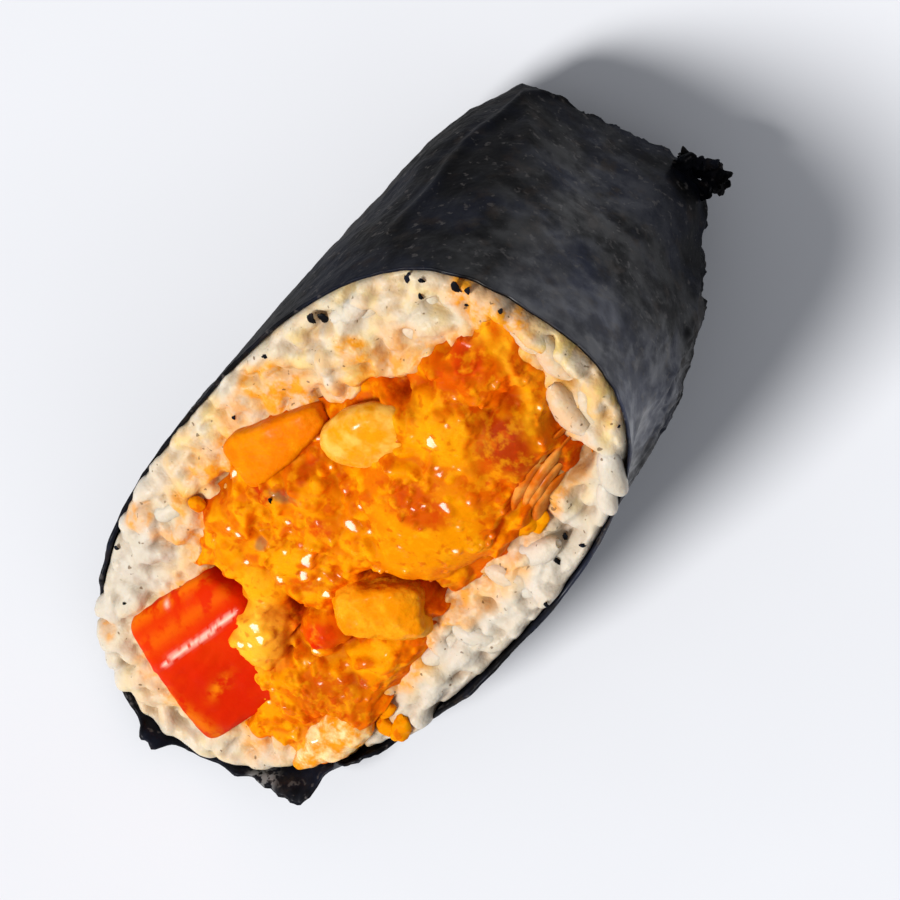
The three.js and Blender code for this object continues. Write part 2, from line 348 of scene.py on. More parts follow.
    def half_width(self, p: Points, e: Points) -> Points:
        """Half of the thickness at a depth: it tapers with its square and rounds off at the corner.

        Args:
            p, e: depth below the face and even inset from the outer skin, mm.

        Returns:
            Half widths, mm.
        """
        share = np.clip(p / (self.depth - e), 0, 1)
        tapered = self.half_thickness * (1 - self.tip_taper * share**2) - e
        return tapered * np.sqrt(1 - share**10)

    def sideways(self, s: Points, p: Points) -> Points:
        """Sideways shift: a lean along the face plus a half sine bow below it."""
        return self.lean * (s - 45) + self.bow * np.sin(np.pi * p / self.depth)

    def skin(self, p: Points, a: Points, e: Points) -> tuple[Points, Points]:
        """A point of the skin: each section is a superellipse, drawn in at its upper right corner.

        Args:
            p: depth below the face, mm.
            a: angle round the section, radians, 90 degrees at the base side.
            e: even inset from the outer skin, mm.

        Returns:
            x and s of the points, mm.
        """
        low, high = self.low_s(p, e), self.high_s(p, e)
        blunt = self.apex_power + 0.9 * np.maximum(p, 0) / self.depth
        power = np.where(np.sin(a) > 0, self.base_power, blunt)
        along = np.sign(np.sin(a)) * np.abs(np.sin(a)) ** (2 / power)
        across = np.sign(np.cos(a)) * np.abs(np.cos(a)) ** (2 / power)
        s = (low + high) / 2 + (high - low) / 2 * along
        tuck = self.tuck * np.clip(across, 0, 1) * np.clip(along, 0, 1)
        tuck = tuck * smoothstep(0, 6, p) * np.exp(-np.maximum(p - 6, 0) / 12)
        return self.half_width(p, e) * across + self.sideways(s, p) - tuck, s

    def even_angles(self, count: int, e: float) -> Points:
        """Angles round the cut face whose points lie equally far apart along its rim.

        Args:
            count: how many.
            e: inset of the rim, mm.

        Returns:
            The angles, radians.
        """
        dense = np.linspace(0, 2 * np.pi, 6001)
        x, s = self.skin(np.zeros_like(dense), dense, e)
        length = np.concatenate([[0], np.cumsum(np.hypot(np.diff(x), np.diff(s)))])
        return np.interp(np.linspace(0, length[-1], count, endpoint=False), length, dense)


BALL = Ball()


# ---- Meshes ------------------------------------


def grid_normals(points: Points) -> Points:
    """Unit normals of a ring grid: the cross product of its two steps.

    Args:
        points: (rings, around, 3), closed round the second axis.

    Returns:
        The normals, of the same shape.
    """
    around = np.roll(points, -1, 1) - np.roll(points, 1, 1)
    down = np.gradient(points, axis=0)
    normal = np.cross(around, down)
    return normal / np.maximum(np.linalg.norm(normal, axis=-1, keepdims=True), 1e-12)


def ring_faces(rings: int, around: int, first: int = 0) -> Points:
    """Quads between rings whose points follow one another.

    Args:
        rings: how many rings.
        around: points in each.
        first: number of the first point.

    Returns:
        (n, 4) point numbers.
    """
    ring = np.arange(rings - 1)[:, None] * around
    one = np.arange(around)[None, :]
    two = (one + 1) % around
    quads = np.stack([ring + one, ring + two, ring + around + two, ring + around + one])
    return quads.reshape(4, -1).T + first


def fan(pole: int, ring: Points) -> Points:
    """Triangles from one point to a ring, as quads with their last corner repeated.

    Args:
        pole: number of the point.
        ring: numbers of the ring's points, in order.

    Returns:
        (n, 4) point numbers whose last two are equal.
    """
    turn = np.roll(ring, -1)
    pole_column = np.full_like(ring, pole)
    return np.stack([ring, pole_column, turn, turn], 1)[:, [1, 0, 2, 3]]


def volume_of(points: Points, faces: Points) -> float:
    """Signed volume inside faces: a sixth of the triple products of their triangles.

    Args:
        points: (n, 3).
        faces: (m, 4).

    Returns:
        The volume, negative where the faces point inwards.
    """
    a, b, c, d = (points[faces[:, i]] for i in range(4))
    one = np.einsum("ij,ij->i", a, np.cross(b, c)).sum()
    two = np.einsum("ij,ij->i", a, np.cross(c, d)).sum()
    return float((one + two) / 6)


def mesh_piece(name: str, points: Points, faces: Points, marks: dict[str, Points]) -> Piece:
    """Puts whole arrays into a smooth mesh whose faces point outwards.

    Args:
        name: the piece's name.
        points: (n, 3) metres.
        faces: (m, 4) point numbers; a triangle repeats its last.
        marks: named values for each point, (n,) numbers or (n, 3) colours.

    Returns:
        The new object, at the origin.
    """
    if volume_of(points, faces) < 0:
        faces = faces[:, [0, 3, 2, 1]]
        doubled = faces[:, 1] == faces[:, 2]
        faces[doubled] = faces[doubled][:, [0, 2, 3, 3]]
    flat = faces[:, 2] == faces[:, 3]
    sizes = np.where(flat, 3, 4)
    loops = faces[np.arange(4)[None, :] < sizes[:, None]]
    mesh = bpy.data.meshes.new(name)
    mesh.vertices.add(len(points))
    mesh.vertices.foreach_set("co", points.astype(np.float32).ravel())
    mesh.loops.add(len(loops))
    mesh.loops.foreach_set("vertex_index", loops.astype(np.int32))
    mesh.polygons.add(len(faces))
    starts = np.concatenate([[0], np.cumsum(sizes)[:-1]])
    mesh.polygons.foreach_set("loop_start", starts.astype(np.int32))
    mesh.update(calc_edges=True)
    mesh.polygons.foreach_set("use_smooth", np.ones(len(faces), bool))
    for mark, values in marks.items():
        kind, key = "FLOAT", "value"
        if values.ndim == 2:
            kind, key = "FLOAT_COLOR", "color"
            values = np.concatenate([values, np.ones((len(values), 1))], 1)
        attribute = mesh.attributes.new(mark, kind, "POINT")
        attribute.data.foreach_set(key, values.astype(np.float32).ravel())
    piece = bpy.data.objects.new(name, mesh)
    bpy.context.scene.collection.objects.link(piece)
    return piece


def closed_rings(points: Points) -> Surface:
    """Joins a stack of rings into one closed surface, with a pole at the middle of each end ring.

    Args:
        points: (rings, around, 3).

    Returns:
        The points with two poles added, and the faces.
    """
    rings, around = points.shape[:2]
    count = rings * around
    flat = np.concatenate([points.reshape(-1, 3), points[0].mean(0)[None], points[-1].mean(0)[None]])
    ring = np.arange(around)
    ends = [fan(count, ring), fan(count + 1, ring[::-1] + count - around)]
    return flat, np.concatenate([ring_faces(rings, around), *ends])


def with_poles(mark: Points, pole: float = 0.0) -> Points:
    """A mark of a stack of rings, in one row, with the same value for its two poles added."""
    return np.append(mark, [pole, pole])


def set_in(shape: Points, middle: Triple = (0.0, 0.0, 0.0), turns: tuple[float, ...] = (0.0,)) -> Surface:
    """Turns a stack of rings, moves it to its middle, and sets it into the ball as a closed surface."""
    world = shape @ turned(*turns).T + np.asarray(middle)
    return closed_rings(BALL.place(*np.moveaxis(world, -1, 0)))


def joined(sets: list[Surface]) -> Surface:
    """Joins meshes into one: their points follow one another, and the faces are numbered on.

    Args:
        sets: points and faces of each.

    Returns:
        All points and all faces.
    """
    starts = np.cumsum([0] + [len(points) for points, _ in sets[:-1]])
    faces = np.concatenate([own + start for (_, own), start in zip(sets, starts)])
    return np.concatenate([points for points, _ in sets]), faces


def finished(
    name: str, mesh: Surface, marks: dict[str, Points], material: Material, slot: Slot, *nodes: str
) -> Piece:
    """Makes a piece, and gives it its material, its body and the solids that it replaces.

    Args:
        name: the piece's name.
        mesh: its points and faces.
        marks: named values for each point.
        material: its finish.
        slot: the record's slot; not used.
        nodes: names of the solids that it replaces.

    Returns:
        The piece.
    """
    piece = mesh_piece(name, *mesh, marks)
    piece.data.materials.append(material)
    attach(piece, "root")
    if nodes:
        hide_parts(*nodes)
    triangles = sum(len(p.vertices) - 2 for p in piece.data.polygons)
    LOG.info("%s: %d triangles", piece.name, triangles)
    return piece


# ---- Relief of the cut face --------------------


@dataclass(frozen=True)
class Lump:
    """A rounded lump: its middle (x, s, h), its half sizes across, along and out, and its turns."""

    middle: Triple
    half: Triple
    turns: tuple[float, ...] = (0.0,)


def lumps(*rows: tuple[float, ...]) -> tuple[Lump, ...]:
    """Lumps from rows: the middle's x, s and h, three half sizes and any turns."""
    return tuple(Lump(row[:3], row[3:6], row[6:] or (0.0,)) for row in rows)


@dataclass
class Relief:
    """Heights over the cut face on an even raster, and which lump is on top at each place."""

    step: float = 0.1
    low_x: float = -23.0
    high_x: float = 23.0
    low_s: float = -4.0
    high_s: float = 71.0
    height: Points = field(init=False)
    owner: Points = field(init=False)
    shift_x: Points = field(init=False)
    shift_s: Points = field(init=False)
    x: Points = field(init=False)
    s: Points = field(init=False)
    warp: float = 0.5
    warp_size: float = 2.2

    def __post_init__(self) -> None:
        """Lays out the raster, far below the face, and the shifted places that lumps are cut from."""
        xs = np.arange(self.low_x, self.high_x, self.step)
        ss = np.arange(self.low_s, self.high_s, self.step)
        self.x, self.s = np.meshgrid(xs, ss)
        self.shift_x = self.warp * self.noise(self.warp_size, 201)
        self.shift_s = self.warp * ripple(self.x, self.s, 0 * self.x + 9.5, self.warp_size, 202)
        self.height = np.full(self.x.shape, -9.0)
        self.owner = np.zeros(self.x.shape, int)

    def stamp(self, lump: Lump, blend: float, owner: int) -> None:
        """Adds a lump's upper side, joined to what is there.

        The upper side solves the ellipsoid's equation for h; outside its outline the same root is
        taken with the opposite sign, so the side falls steeply.

        Args:
            lump: the lump.
            blend: width of the filled crease, mm.
            owner: its number.
        """
        reach = max(lump.half) * 1.35 + 0.4 + self.warp
        cx, cs, ch = lump.middle
        i0 = max(int((cs - reach - self.low_s) / self.step), 0)
        i1 = int((cs + reach - self.low_s) / self.step) + 1
        j0 = max(int((cx - reach - self.low_x) / self.step), 0)
        j1 = int((cx + reach - self.low_x) / self.step) + 1
        part = (slice(i0, i1), slice(j0, j1))
        axes = turned(*lump.turns)
        shape = axes @ np.diag(1 / np.asarray(lump.half) ** 2) @ axes.T
        dx = self.x[part] + self.shift_x[part] - cx
        ds = self.s[part] + self.shift_s[part] - cs
        b = shape[0, 2] * dx + shape[1, 2] * ds
        c = shape[0, 0] * dx * dx + 2 * shape[0, 1] * dx * ds + shape[1, 1] * ds * ds - 1
        root = b * b - shape[2, 2] * c
        top = ch + (-b + np.sign(root) * np.sqrt(np.abs(root))) / shape[2, 2]
        self.owner[part] = np.where(top > self.height[part], owner, self.owner[part])
        self.height[part] = smooth_max(self.height[part], top, blend)

    def at(self, values: Points, x: Points, s: Points) -> Points:
        """Values of a raster at places between its points, weighted by nearness.

        Args:
            values: an array on the raster.
            x, s: across and along, mm.

        Returns:
            The values there.
        """
        j = np.clip((x - self.low_x) / self.step, 0, self.x.shape[1] - 1.001)
        i = np.clip((s - self.low_s) / self.step, 0, self.x.shape[0] - 1.001)
        j0, i0 = j.astype(int), i.astype(int)
        tj, ti = j - j0, i - i0
        upper = values[i0, j0] * (1 - tj) + values[i0, j0 + 1] * tj
        lower = values[i0 + 1, j0] * (1 - tj) + values[i0 + 1, j0 + 1] * tj
        return upper * (1 - ti) + lower * ti

    def top(self, x: Points, s: Points) -> Points:
        """Heights at places between the raster's points."""
        return self.at(self.height, np.asarray(x, float), np.asarray(s, float))

    def shades(self, x: Points, s: Points, seed: int, reach: float) -> Points:
        """A random number from 0 to 1 for each lump, averaged over a window, at places."""
        shade = np.random.default_rng(seed).random(self.owner.max() + 1)[self.owner]
        return self.at(self.blurred(shade, reach), x, s)

    def noise(self, size: float, seed: int, octaves: int = 3) -> Points:
        """Noise over the raster."""
        return flat_ripple(self.x, self.s, size, seed, octaves)

    def blurred(self, values: Points, reach: float) -> Points:
        """A raster averaged over a square window, twice, along each axis by running sums.

        Args:
            values: an array on the raster.
            reach: half of the window, mm.

        Returns:
            The averaged array.
        """
        cells = max(int(reach / self.step), 1)
        for _ in range(2):
            for axis in (0, 1):
                pad = [(0, 0), (0, 0)]
                pad[axis] = (cells + 1, cells)
                sums = np.cumsum(np.pad(values, pad, mode="edge"), axis)
                ahead = np.take(sums, range(2 * cells + 1, sums.shape[axis]), axis)
                behind = np.take(sums, range(0, sums.shape[axis] - 2 * cells - 1), axis)
                values = (ahead - behind) / (2 * cells + 1)
        return values

    def hollow(self, reach: float, full: float) -> Points:
        """How deep each place lies in a hollow: its depth below the averaged surface."""
        return np.clip((self.blurred(self.height, reach) - self.height) / full, 0, 1)


@dataclass(frozen=True)
class Outline:
    """A closed outline round a middle, given by points; its radius runs smoothly between them."""

    middle: Pair
    points: tuple[Pair, ...]
    soften: float = 3.0

    def radius(self, angle: Points) -> Points:
        """Distance from the middle to the outline: straight between points, then averaged.

        Args:
            angle: direction from the middle, radians.

        Returns:
            The distances, mm.
        """
        away = np.asarray(self.points, float) - self.middle
        at = np.arctan2(away[:, 1], away[:, 0]) % (2 * np.pi)
        order = np.argsort(at)
        dense = np.linspace(0, 2 * np.pi, 720, endpoint=False)
        far = np.interp(dense, at[order], np.hypot(*away[order].T), period=2 * np.pi)
        window = bell(np.arange(-12, 13), 2 * self.soften)
        padded = np.concatenate([far[-12:], far, far[:12]])
        smooth = np.convolve(padded, window / window.sum(), "valid")
        return np.interp(angle % (2 * np.pi), dense, smooth, period=2 * np.pi)

    def share(self, x: Points, s: Points) -> Points:
        """How far out a place lies: its distance over the outline's radius, 1 on the outline."""
        dx, ds = x - self.middle[0], s - self.middle[1]
        return np.hypot(dx, ds) / self.radius(np.arctan2(ds, dx))


@dataclass(frozen=True)
class Patch:
    """A soft oval of colour or of a mask on the cut face."""

    middle: Pair
    half: Pair
    turn: float = 0.0
    strength: float = 1.0
    colour: Rgb = (255, 255, 255)

    def weight(self, x: Points, s: Points, wobble: Points) -> Points:
        """Strength at a place: eased from the patch's middle out to its uneven rim.

        Args:
            x, s: across and along, mm.
            wobble: noise that moves the rim.

        Returns:
            Weights from 0 to strength.
        """
        c, q = math.cos(math.radians(self.turn)), math.sin(math.radians(self.turn))
        dx, ds = x - self.middle[0], s - self.middle[1]
        u, v = (c * dx + q * ds) / self.half[0], (c * ds - q * dx) / self.half[1]
        return self.strength * smoothstep(1.25, 0.55, np.hypot(u, v) + 0.35 * wobble)


def patches(*rows: tuple[float, ...]) -> tuple[Patch, ...]:
    """Patches from rows: x, s, two half sizes, turn, strength and, for a tint, its colour."""
    return tuple(Patch(row[:2], row[2:4], *row[4:6], row[6:] or (255, 255, 255)) for row in rows)


def strongest(spots: tuple[Patch, ...], x: Points, s: Points, wobble: Points) -> Points:
    """The largest weight that any of the patches has at a place."""
    return np.max([spot.weight(x, s, wobble) for spot in spots], 0)


# ---- Finishes ----------------------------------


class Tree:
    """Lays nodes into one node tree."""

    def __init__(self, tree: bpy.types.NodeTree) -> None:
        """Keeps the tree."""
        self.tree = tree

    def feed(self, socket: Socket, value: Socket | float | tuple) -> None:
        """Joins an output to an input, or gives the input a value of its own.

        Args:
            socket: the input.
            value: an output or a value.
        """
        if isinstance(value, Socket):
            self.tree.links.new(value, socket)
        else:
            socket.default_value = value

    def fill(self, node: bpy.types.Node, inputs: dict[str, Socket | float | tuple]) -> None:
        """Feeds a node's inputs by name, with _ for a space."""
        for key, value in inputs.items():
            self.feed(node.inputs[key.replace("_", " ")], value)

    def add(self, kind: str, settings: dict | None = None, **inputs) -> bpy.types.Node:
        """Adds a node, sets its own settings, and feeds its inputs.

        Args:
            kind: the node's type.
            settings: its properties by name.
            inputs: values or outputs by input name, with _ for a space.

        Returns:
            The node.
        """
        node = self.tree.nodes.new(kind)
        for key, value in (settings or {}).items():
            setattr(node, key, value)
        self.fill(node, inputs)
        return node

    def math(self, operation: str, a: Socket | float, b: Socket | float) -> Socket:
        """One Math node on two numbers.

        Args:
            operation: what the node does.
            a: the first.
            b: the second.

        Returns:
            Its output.
        """
        node = self.add("ShaderNodeMath", {"operation": operation})
        self.feed(node.inputs[0], a)
        self.feed(node.inputs[1], b)
        return node.outputs[0]

    def plus(self, a: Socket | float, b: Socket | float) -> Socket:
        """The sum of two numbers."""
        return self.math("ADD", a, b)

    def times(self, a: Socket | float, b: Socket | float) -> Socket:
        """The product of two numbers."""
        return self.math("MULTIPLY", a, b)

    def blend(self, share: Socket, a: Socket | Rgb, b: Socket | Rgb) -> Socket:
        """A colour between two: a times (1 - share) plus b times share.

        Args:
            share: how much of b.
            a: the first colour, an output or a screen colour.
            b: the second one.

        Returns:
            The mixed colour.
        """
        node = self.add("ShaderNodeMix", {"data_type": "RGBA"})
        for index, value in ((0, share), (6, a), (7, b)):
            self.feed(node.inputs[index], linear(value) if isinstance(value, tuple) else value)
        return node.outputs[2]


class Effect(Enum):
    """Effects that several finishes share, each one node group."""

    MOTTLE = "mottle"
    RELIEF = "fine_relief"
    HOLLOW_SHADE = "hollow_tint"


class SocketKind(Enum):
    """Types of a group's sockets."""

    NUMBER = "NodeSocketFloat"
    VECTOR = "NodeSocketVector"
    COLOUR = "NodeSocketColor"


class Effects:
    """Builds each shared node group once."""

    def __init__(self) -> None:
        """Builds the three groups."""
        self.groups = {
            Effect.MOTTLE: self.mottle(),
            Effect.RELIEF: self.relief(),
            Effect.HOLLOW_SHADE: self.hollow(),
        }

    @staticmethod
    def open_group(
        effect: Effect, inputs: dict[str, float | SocketKind], output: str, kind: SocketKind
    ) -> tuple[Tree, dict[str, Socket], Socket]:
        """Starts a group with named sockets.

        Args:
            effect: which one.
            inputs: a number's default, or the type of another socket, by name.
            output: name of its only output.
            kind: type of that output.

        Returns:
            The tree, its inputs by name, and the socket that takes what it puts out.
        """
        group = bpy.data.node_groups.new(effect.value, "ShaderNodeTree")
        for key, value in inputs.items():
            given = isinstance(value, SocketKind)
            type_name = (value if given else SocketKind.NUMBER).value
            made = group.interface.new_socket(key, in_out="INPUT", socket_type=type_name)
            if not given:
                made.default_value = value
        group.interface.new_socket(output, in_out="OUTPUT", socket_type=kind.value)
        tree = Tree(group)
        source = tree.add("NodeGroupInput").outputs
        return tree, {key: source[key] for key in inputs}, tree.add("NodeGroupOutput").inputs[output]

    def mottle(self) -> bpy.types.NodeTree:
        """Cloudy mask: noise of a given size, mapped from low to high onto 0 to 1."""
        inputs = {"Vector": SocketKind.VECTOR, "Per Metre": 300.0, "Detail": 3.0, "Low": 0.4, "High": 0.6}
        tree, source, sink = self.open_group(Effect.MOTTLE, inputs, "Mask", SocketKind.NUMBER)
        noise = tree.add(
            "ShaderNodeTexNoise", Vector=source["Vector"], Scale=source["Per Metre"],
            Detail=source["Detail"], Roughness=0.6,
        )
        span = tree.add(
            "ShaderNodeMapRange", {"interpolation_type": "SMOOTHSTEP"},
            Value=noise.outputs["Fac"], From_Min=source["Low"], From_Max=source["High"],
        )
        tree.feed(sink, span.outputs["Result"])
        return tree.tree

    def relief(self) -> bpy.types.NodeTree:
        """Height of a fine surface: coarse noise minus a share of the distance to rounded cells."""
        inputs = {
            "Vector": SocketKind.VECTOR, "Per Metre": 800.0, "Cells Per Metre": 2000.0, "Cell Share": 0.4,
        }
        tree, source, sink = self.open_group(Effect.RELIEF, inputs, "Height", SocketKind.NUMBER)
        place = source["Vector"]
        noise = tree.add(
            "ShaderNodeTexNoise", Vector=place, Scale=source["Per Metre"], Detail=4.0, Roughness=0.55
        )
        cells = tree.add(
            "ShaderNodeTexVoronoi", {"feature": "SMOOTH_F1"},
            Vector=place, Scale=source["Cells Per Metre"], Smoothness=0.6,
        )
        share = tree.times(cells.outputs["Distance"], source["Cell Share"])
        tree.feed(sink, tree.math("SUBTRACT", noise.outputs["Fac"], share))
        return tree.tree

    def hollow(self) -> bpy.types.NodeTree:
        """Painted shade: tints a colour towards a deeper one where a surface lies in a hollow."""
        inputs = {
            "Colour": SocketKind.COLOUR, "Deep Colour": SocketKind.COLOUR, "Hollow": 0.0, "Strength": 1.0,
        }
        tree, source, sink = self.open_group(Effect.HOLLOW_SHADE, inputs, "Colour", SocketKind.COLOUR)
        share = tree.times(source["Hollow"], source["Strength"])
        tree.feed(sink, tree.blend(share, source["Colour"], source["Deep Colour"]))
        return tree.tree


class Finish:
    """Start of a finish: a material with one shader, object coordinates and the shared effects."""

    def __init__(self, name: str, effects: Effects) -> None:
        """Opens the material.

        Args:
            name: the material's name.
            effects: the shared groups.
        """
        self.material = bpy.data.materials.new(name)
        self.material.use_nodes = True
        self.effects = effects
        self.tree = Tree(self.material.node_tree)
        self.shader = self.material.node_tree.nodes["Principled BSDF"]
        self.place = self.tree.add("ShaderNodeTexCoord").outputs["Object"]

    def set(self, **inputs) -> None:
        """Feeds the shader's own inputs, with _ for a space in their names."""
        self.tree.fill(self.shader, inputs)

    def mark(self, name: str, output: str = "Fac") -> Socket:
        """Reads a named value of the mesh; the output is Fac for a number, Color for a colour."""
        return self.tree.add("ShaderNodeAttribute", {"attribute_name": name}).outputs[output]

    def effect(self, effect: Effect, **inputs) -> Socket:
        """Places a shared group with its own values.

        Args:
            effect: which one.
            inputs: its inputs, with _ for a space.

        Returns:
            The group's only output.
        """
        node = self.tree.add("ShaderNodeGroup", {"node_tree": self.effects.groups[effect]}, **inputs)
        if "Vector" in node.inputs:
            self.tree.feed(node.inputs["Vector"], self.place)
        return node.outputs[0]

    def mottle(self, per_metre: float, low: float, high: float, detail: float = 3.0) -> Socket:
        """A cloudy mask: 0 where its noise is under low, 1 where it is over high."""
        return self.effect(Effect.MOTTLE, Per_Metre=per_metre, Low=low, High=high, Detail=detail)

    def painted_hollow_shade(self, colour: Socket, deep: Rgb, strength: float) -> Socket:
        """A colour with painted shade: moved towards a deeper one by the mesh's own hollow mark times a
        strength.
        """
        values = {"Colour": colour, "Deep_Colour": linear(deep), "Hollow": self.mark("hollow")}
        return self.effect(Effect.HOLLOW_SHADE, Strength=strength, **values)

    def roughen(self, per_metre: float, cells: float, share: float, depth_mm: float) -> None:
        """Bumps the shader's normal with the fine relief.

        Args:
            per_metre: how fine the noise is.
            cells: how many cells there are per metre.
            share: how strong they are.
            depth_mm: what a height of 1 stands for, mm.
        """
        height = self.effect(Effect.RELIEF, Per_Metre=per_metre, Cells_Per_Metre=cells, Cell_Share=share)
        node = self.tree.add("ShaderNodeBump", Height=height, Distance=depth_mm * MM)
        self.set(Normal=node.outputs["Normal"])


@dataclass(frozen=True)
class RiceFinish:
    """Cooked short-grain rice: soft, slightly translucent, stained by the sauce near it."""

    white: Rgb = (208, 199, 185)
    clear: Rgb = (196, 184, 163)
    peach: Rgb = (224, 179, 110)
    yellow: Rgb = (226, 192, 104)
    sauce: Rgb = (228, 150, 26)
    deep: Rgb = (150, 110, 70)
    fleck: Rgb = (96, 66, 30)

    def make(self, effects: Effects) -> Material:
        """Some grains paler than others, stained and smeared by masks, specked, with painted shade in
        hollows.

        Args:
            effects: the shared groups.

        Returns:
            The material.
        """
        f = Finish("rice_soft", effects)
        t = f.tree
        cloud = f.mottle(420.0, 0.35, 0.65)
        grain = t.plus(t.times(cloud, 0.5), t.times(f.mark("grain"), 0.5))
        colour = t.blend(grain, self.clear, self.white)
        seep = f.mottle(380.0, 0.38, 0.6)
        stain = t.times(f.mark("stain"), t.plus(t.times(seep, 0.75), 0.35))
        hue = f.mottle(300.0, 0.44, 0.58)
        colour = t.blend(stain, colour, t.blend(hue, self.peach, self.yellow))
        run = f.mottle(620.0, 0.42, 0.6)
        smear = t.times(f.mark("smear"), t.plus(t.times(run, 0.6), 0.4))
        colour = t.blend(smear, colour, self.sauce)
        specks = f.mottle(1500.0, 0.7, 0.76, 1.0)
        colour = t.blend(t.times(specks, 0.75), colour, self.fleck)
        # Painted shade: deeper in the relief's hollows and in the gap by the crab leaves.
        colour = f.painted_hollow_shade(colour, self.deep, 0.8)
        wet = f.mottle(350.0, 0.3, 0.7)
        rough = t.math("SUBTRACT", 0.55, t.times(wet, 0.22))
        f.set(Base_Color=colour, Roughness=rough, Subsurface_Weight=0.35, Subsurface_Scale=0.0012)
        f.set(Specular_IOR_Level=0.25)
        f.set(Subsurface_Radius=(1.0, 0.7, 0.45))
        f.roughen(1400.0, 2600.0, 0.3, 0.12)
        return f.material


@dataclass(frozen=True)
class FillingFinish:
    """Creamy salmon with roe: wet, orange, with painted shade in its hollows."""

    deep: Rgb = (146, 36, 0)
    fat: Rgb = (238, 166, 12)
    red: Rgb = (190, 58, 2)

    def make(self, effects: Effects) -> Material:
        """The mesh's own tint, which holds painted shade, clouded paler and redder, with painted shade in
        hollows, wet where it glints.

        Args:
            effects: the shared groups.

        Returns:
            The material.
        """
        f = Finish("filling_creamy", effects)
        t = f.tree
        pale = f.mottle(620.0, 0.5, 0.68)
        colour = t.blend(t.times(pale, 0.42), f.mark("tint", "Color"), self.fat)
        red = f.mottle(850.0, 0.56, 0.68, 2.0)
        colour = t.blend(t.times(red, 0.5), colour, self.red)
        colour = f.painted_hollow_shade(colour, self.deep, 0.85)
        f.set(Base_Color=colour, Roughness=0.5, Subsurface_Weight=0.2, Subsurface_Scale=0.001)
        wet = t.times(f.mark("wet"), 0.45)
        f.set(Coat_Weight=wet, Coat_Roughness=0.2, Specular_IOR_Level=0.02)
        f.set(Subsurface_Radius=(1.0, 0.35, 0.08))
        f.roughen(900.0, 1700.0, 0.5, 0.09)
        return f.material


@dataclass(frozen=True)
class PieceFinish:
    """A single bite in the filling: crab stick, salmon or a leaf of crab stick."""

    name: str
    tint: Rgb
    pale: Rgb
    deep: Rgb
    pale_share: float = 0.4
    per_metre: float = 420.0
    coat: float = 0.7
    depth: float = 0.1
    roughness: float = 0.32
    smear: Rgb = (228, 132, 8)
    streak: Rgb = (250, 206, 186)

    def make(self, effects: Effects) -> Material:
        """One colour clouded with a paler one, with painted shade where the piece's hollow mark says so,
        sauce smears, a painted highlight, and wet.

        Args:
            effects: the shared groups.

        Returns:
            The material.
        """
        f = Finish(self.name, effects)
        t = f.tree
        cloud = f.mottle(self.per_metre, 0.4, 0.68)
        colour = t.blend(t.times(cloud, self.pale_share), self.tint, self.pale)
        colour = f.painted_hollow_shade(colour, self.deep, 1.0)
        blotch = f.mottle(500.0, 0.36, 0.56)
        colour = t.blend(t.times(blotch, f.mark("smear")), colour, self.smear)
        colour = t.blend(f.mark("streak"), colour, self.streak)
        wet = t.times(f.mottle(300.0, 0.4, 0.65), self.coat)
        wet = t.math("MAXIMUM", wet, f.mark("wet"))
        rough = t.math("SUBTRACT", self.roughness, t.times(wet, 0.12))
        f.set(Base_Color=colour, Roughness=rough, Subsurface_Weight=0.2, Subsurface_Scale=0.001)
        f.set(Coat_Weight=wet, Coat_Roughness=0.18, Specular_IOR_Level=0.02)
        f.set(Subsurface_Radius=(1.0, 0.3, 0.08))
        f.roughen(1100.0, 1800.0, 0.4, self.depth)
        return f.material


@dataclass(frozen=True)
class NoriFinish:
    """Roasted seaweed: near black, mottled brown and blue, with fine fibres and a dull sheen, part coat and
    part painted.
    """

    black: Rgb = (10, 10, 12)
    brown: Rgb = (44, 35, 28)
    blue: Rgb = (34, 40, 60)
    speck: Rgb = (84, 80, 78)
    starch: Rgb = (190, 188, 186)
    painted_sheen: Rgb = (156, 158, 172)

    def make(self, effects: Effects) -> Material:
        """Black, clouded blue and brown, specked; the sheen mark paints sheen and shade and sets the coat,
        strongest by the rim.

        Args:
            effects: the shared groups.

        Returns:
            The material.
        """
        f = Finish("nori_roasted", effects)
        t = f.tree
        sheen = f.mark("sheen")
        wide = f.mottle(130.0, 0.4, 0.64, 5.0)
        # Painted sheen: the blue mottle is stronger where the sheen mark is high.
        near = t.times(wide, t.plus(t.times(sheen, 0.8), 0.2))
        colour = t.blend(near, self.black, self.blue)
        small = f.mottle(420.0, 0.52, 0.7, 4.0)
        # Painted shade: less brown where the sheen mark is low, at the left side.
        share = t.math("MINIMUM", t.plus(sheen, 0.35), 0.85)
        colour = t.blend(t.times(small, share), colour, self.brown)
        # Painted sheen: a pale bluish grey where the sheen mark is high, by the rim.
        painted_sheen_share = t.times(t.math("SUBTRACT", sheen, 0.75), 0.34)
        colour = t.blend(t.math("MAXIMUM", painted_sheen_share, 0.0), colour, self.painted_sheen)
        specks = f.mottle(1100.0, 0.6, 0.72, 2.0)
        colour = t.blend(t.times(specks, 0.6), colour, self.speck)
        dry = f.mottle(1300.0, 0.45, 0.55, 2.0)
        colour = t.blend(t.times(dry, f.mark("starch")), colour, self.starch)
        f.set(Base_Color=colour, Roughness=0.6, Specular_IOR_Level=0.03)
        cloud = f.mottle(330.0, 0.36, 0.64, 5.0)
        coat = t.times(sheen, t.plus(t.times(cloud, 0.7), 0.26))
        f.set(Coat_Weight=coat, Coat_Roughness=0.34)
        f.roughen(900.0, 2100.0, 0.5, 0.09)
        return f.material


@dataclass(frozen=True)
class FloorFinish:
    """The plain pale floor."""

    colour: Rgb = (226, 228, 233)

    def make(self, effects: Effects) -> Material:
        """A matt pale colour with the faintest clouding.

        Args:
            effects: the shared groups.

        Returns:
            The material.
        """
        f = Finish("floor_pale", effects)
        t = f.tree
        cloud = f.mottle(12.0, 0.2, 0.8)
        paler = tuple(min(255, c + 4) for c in self.colour)
        f.set(Base_Color=t.blend(cloud, self.colour, paler), Roughness=0.5)
        f.set(Specular_IOR_Level=0.25)
        return f.material


# ---- Filling -----------------------------------


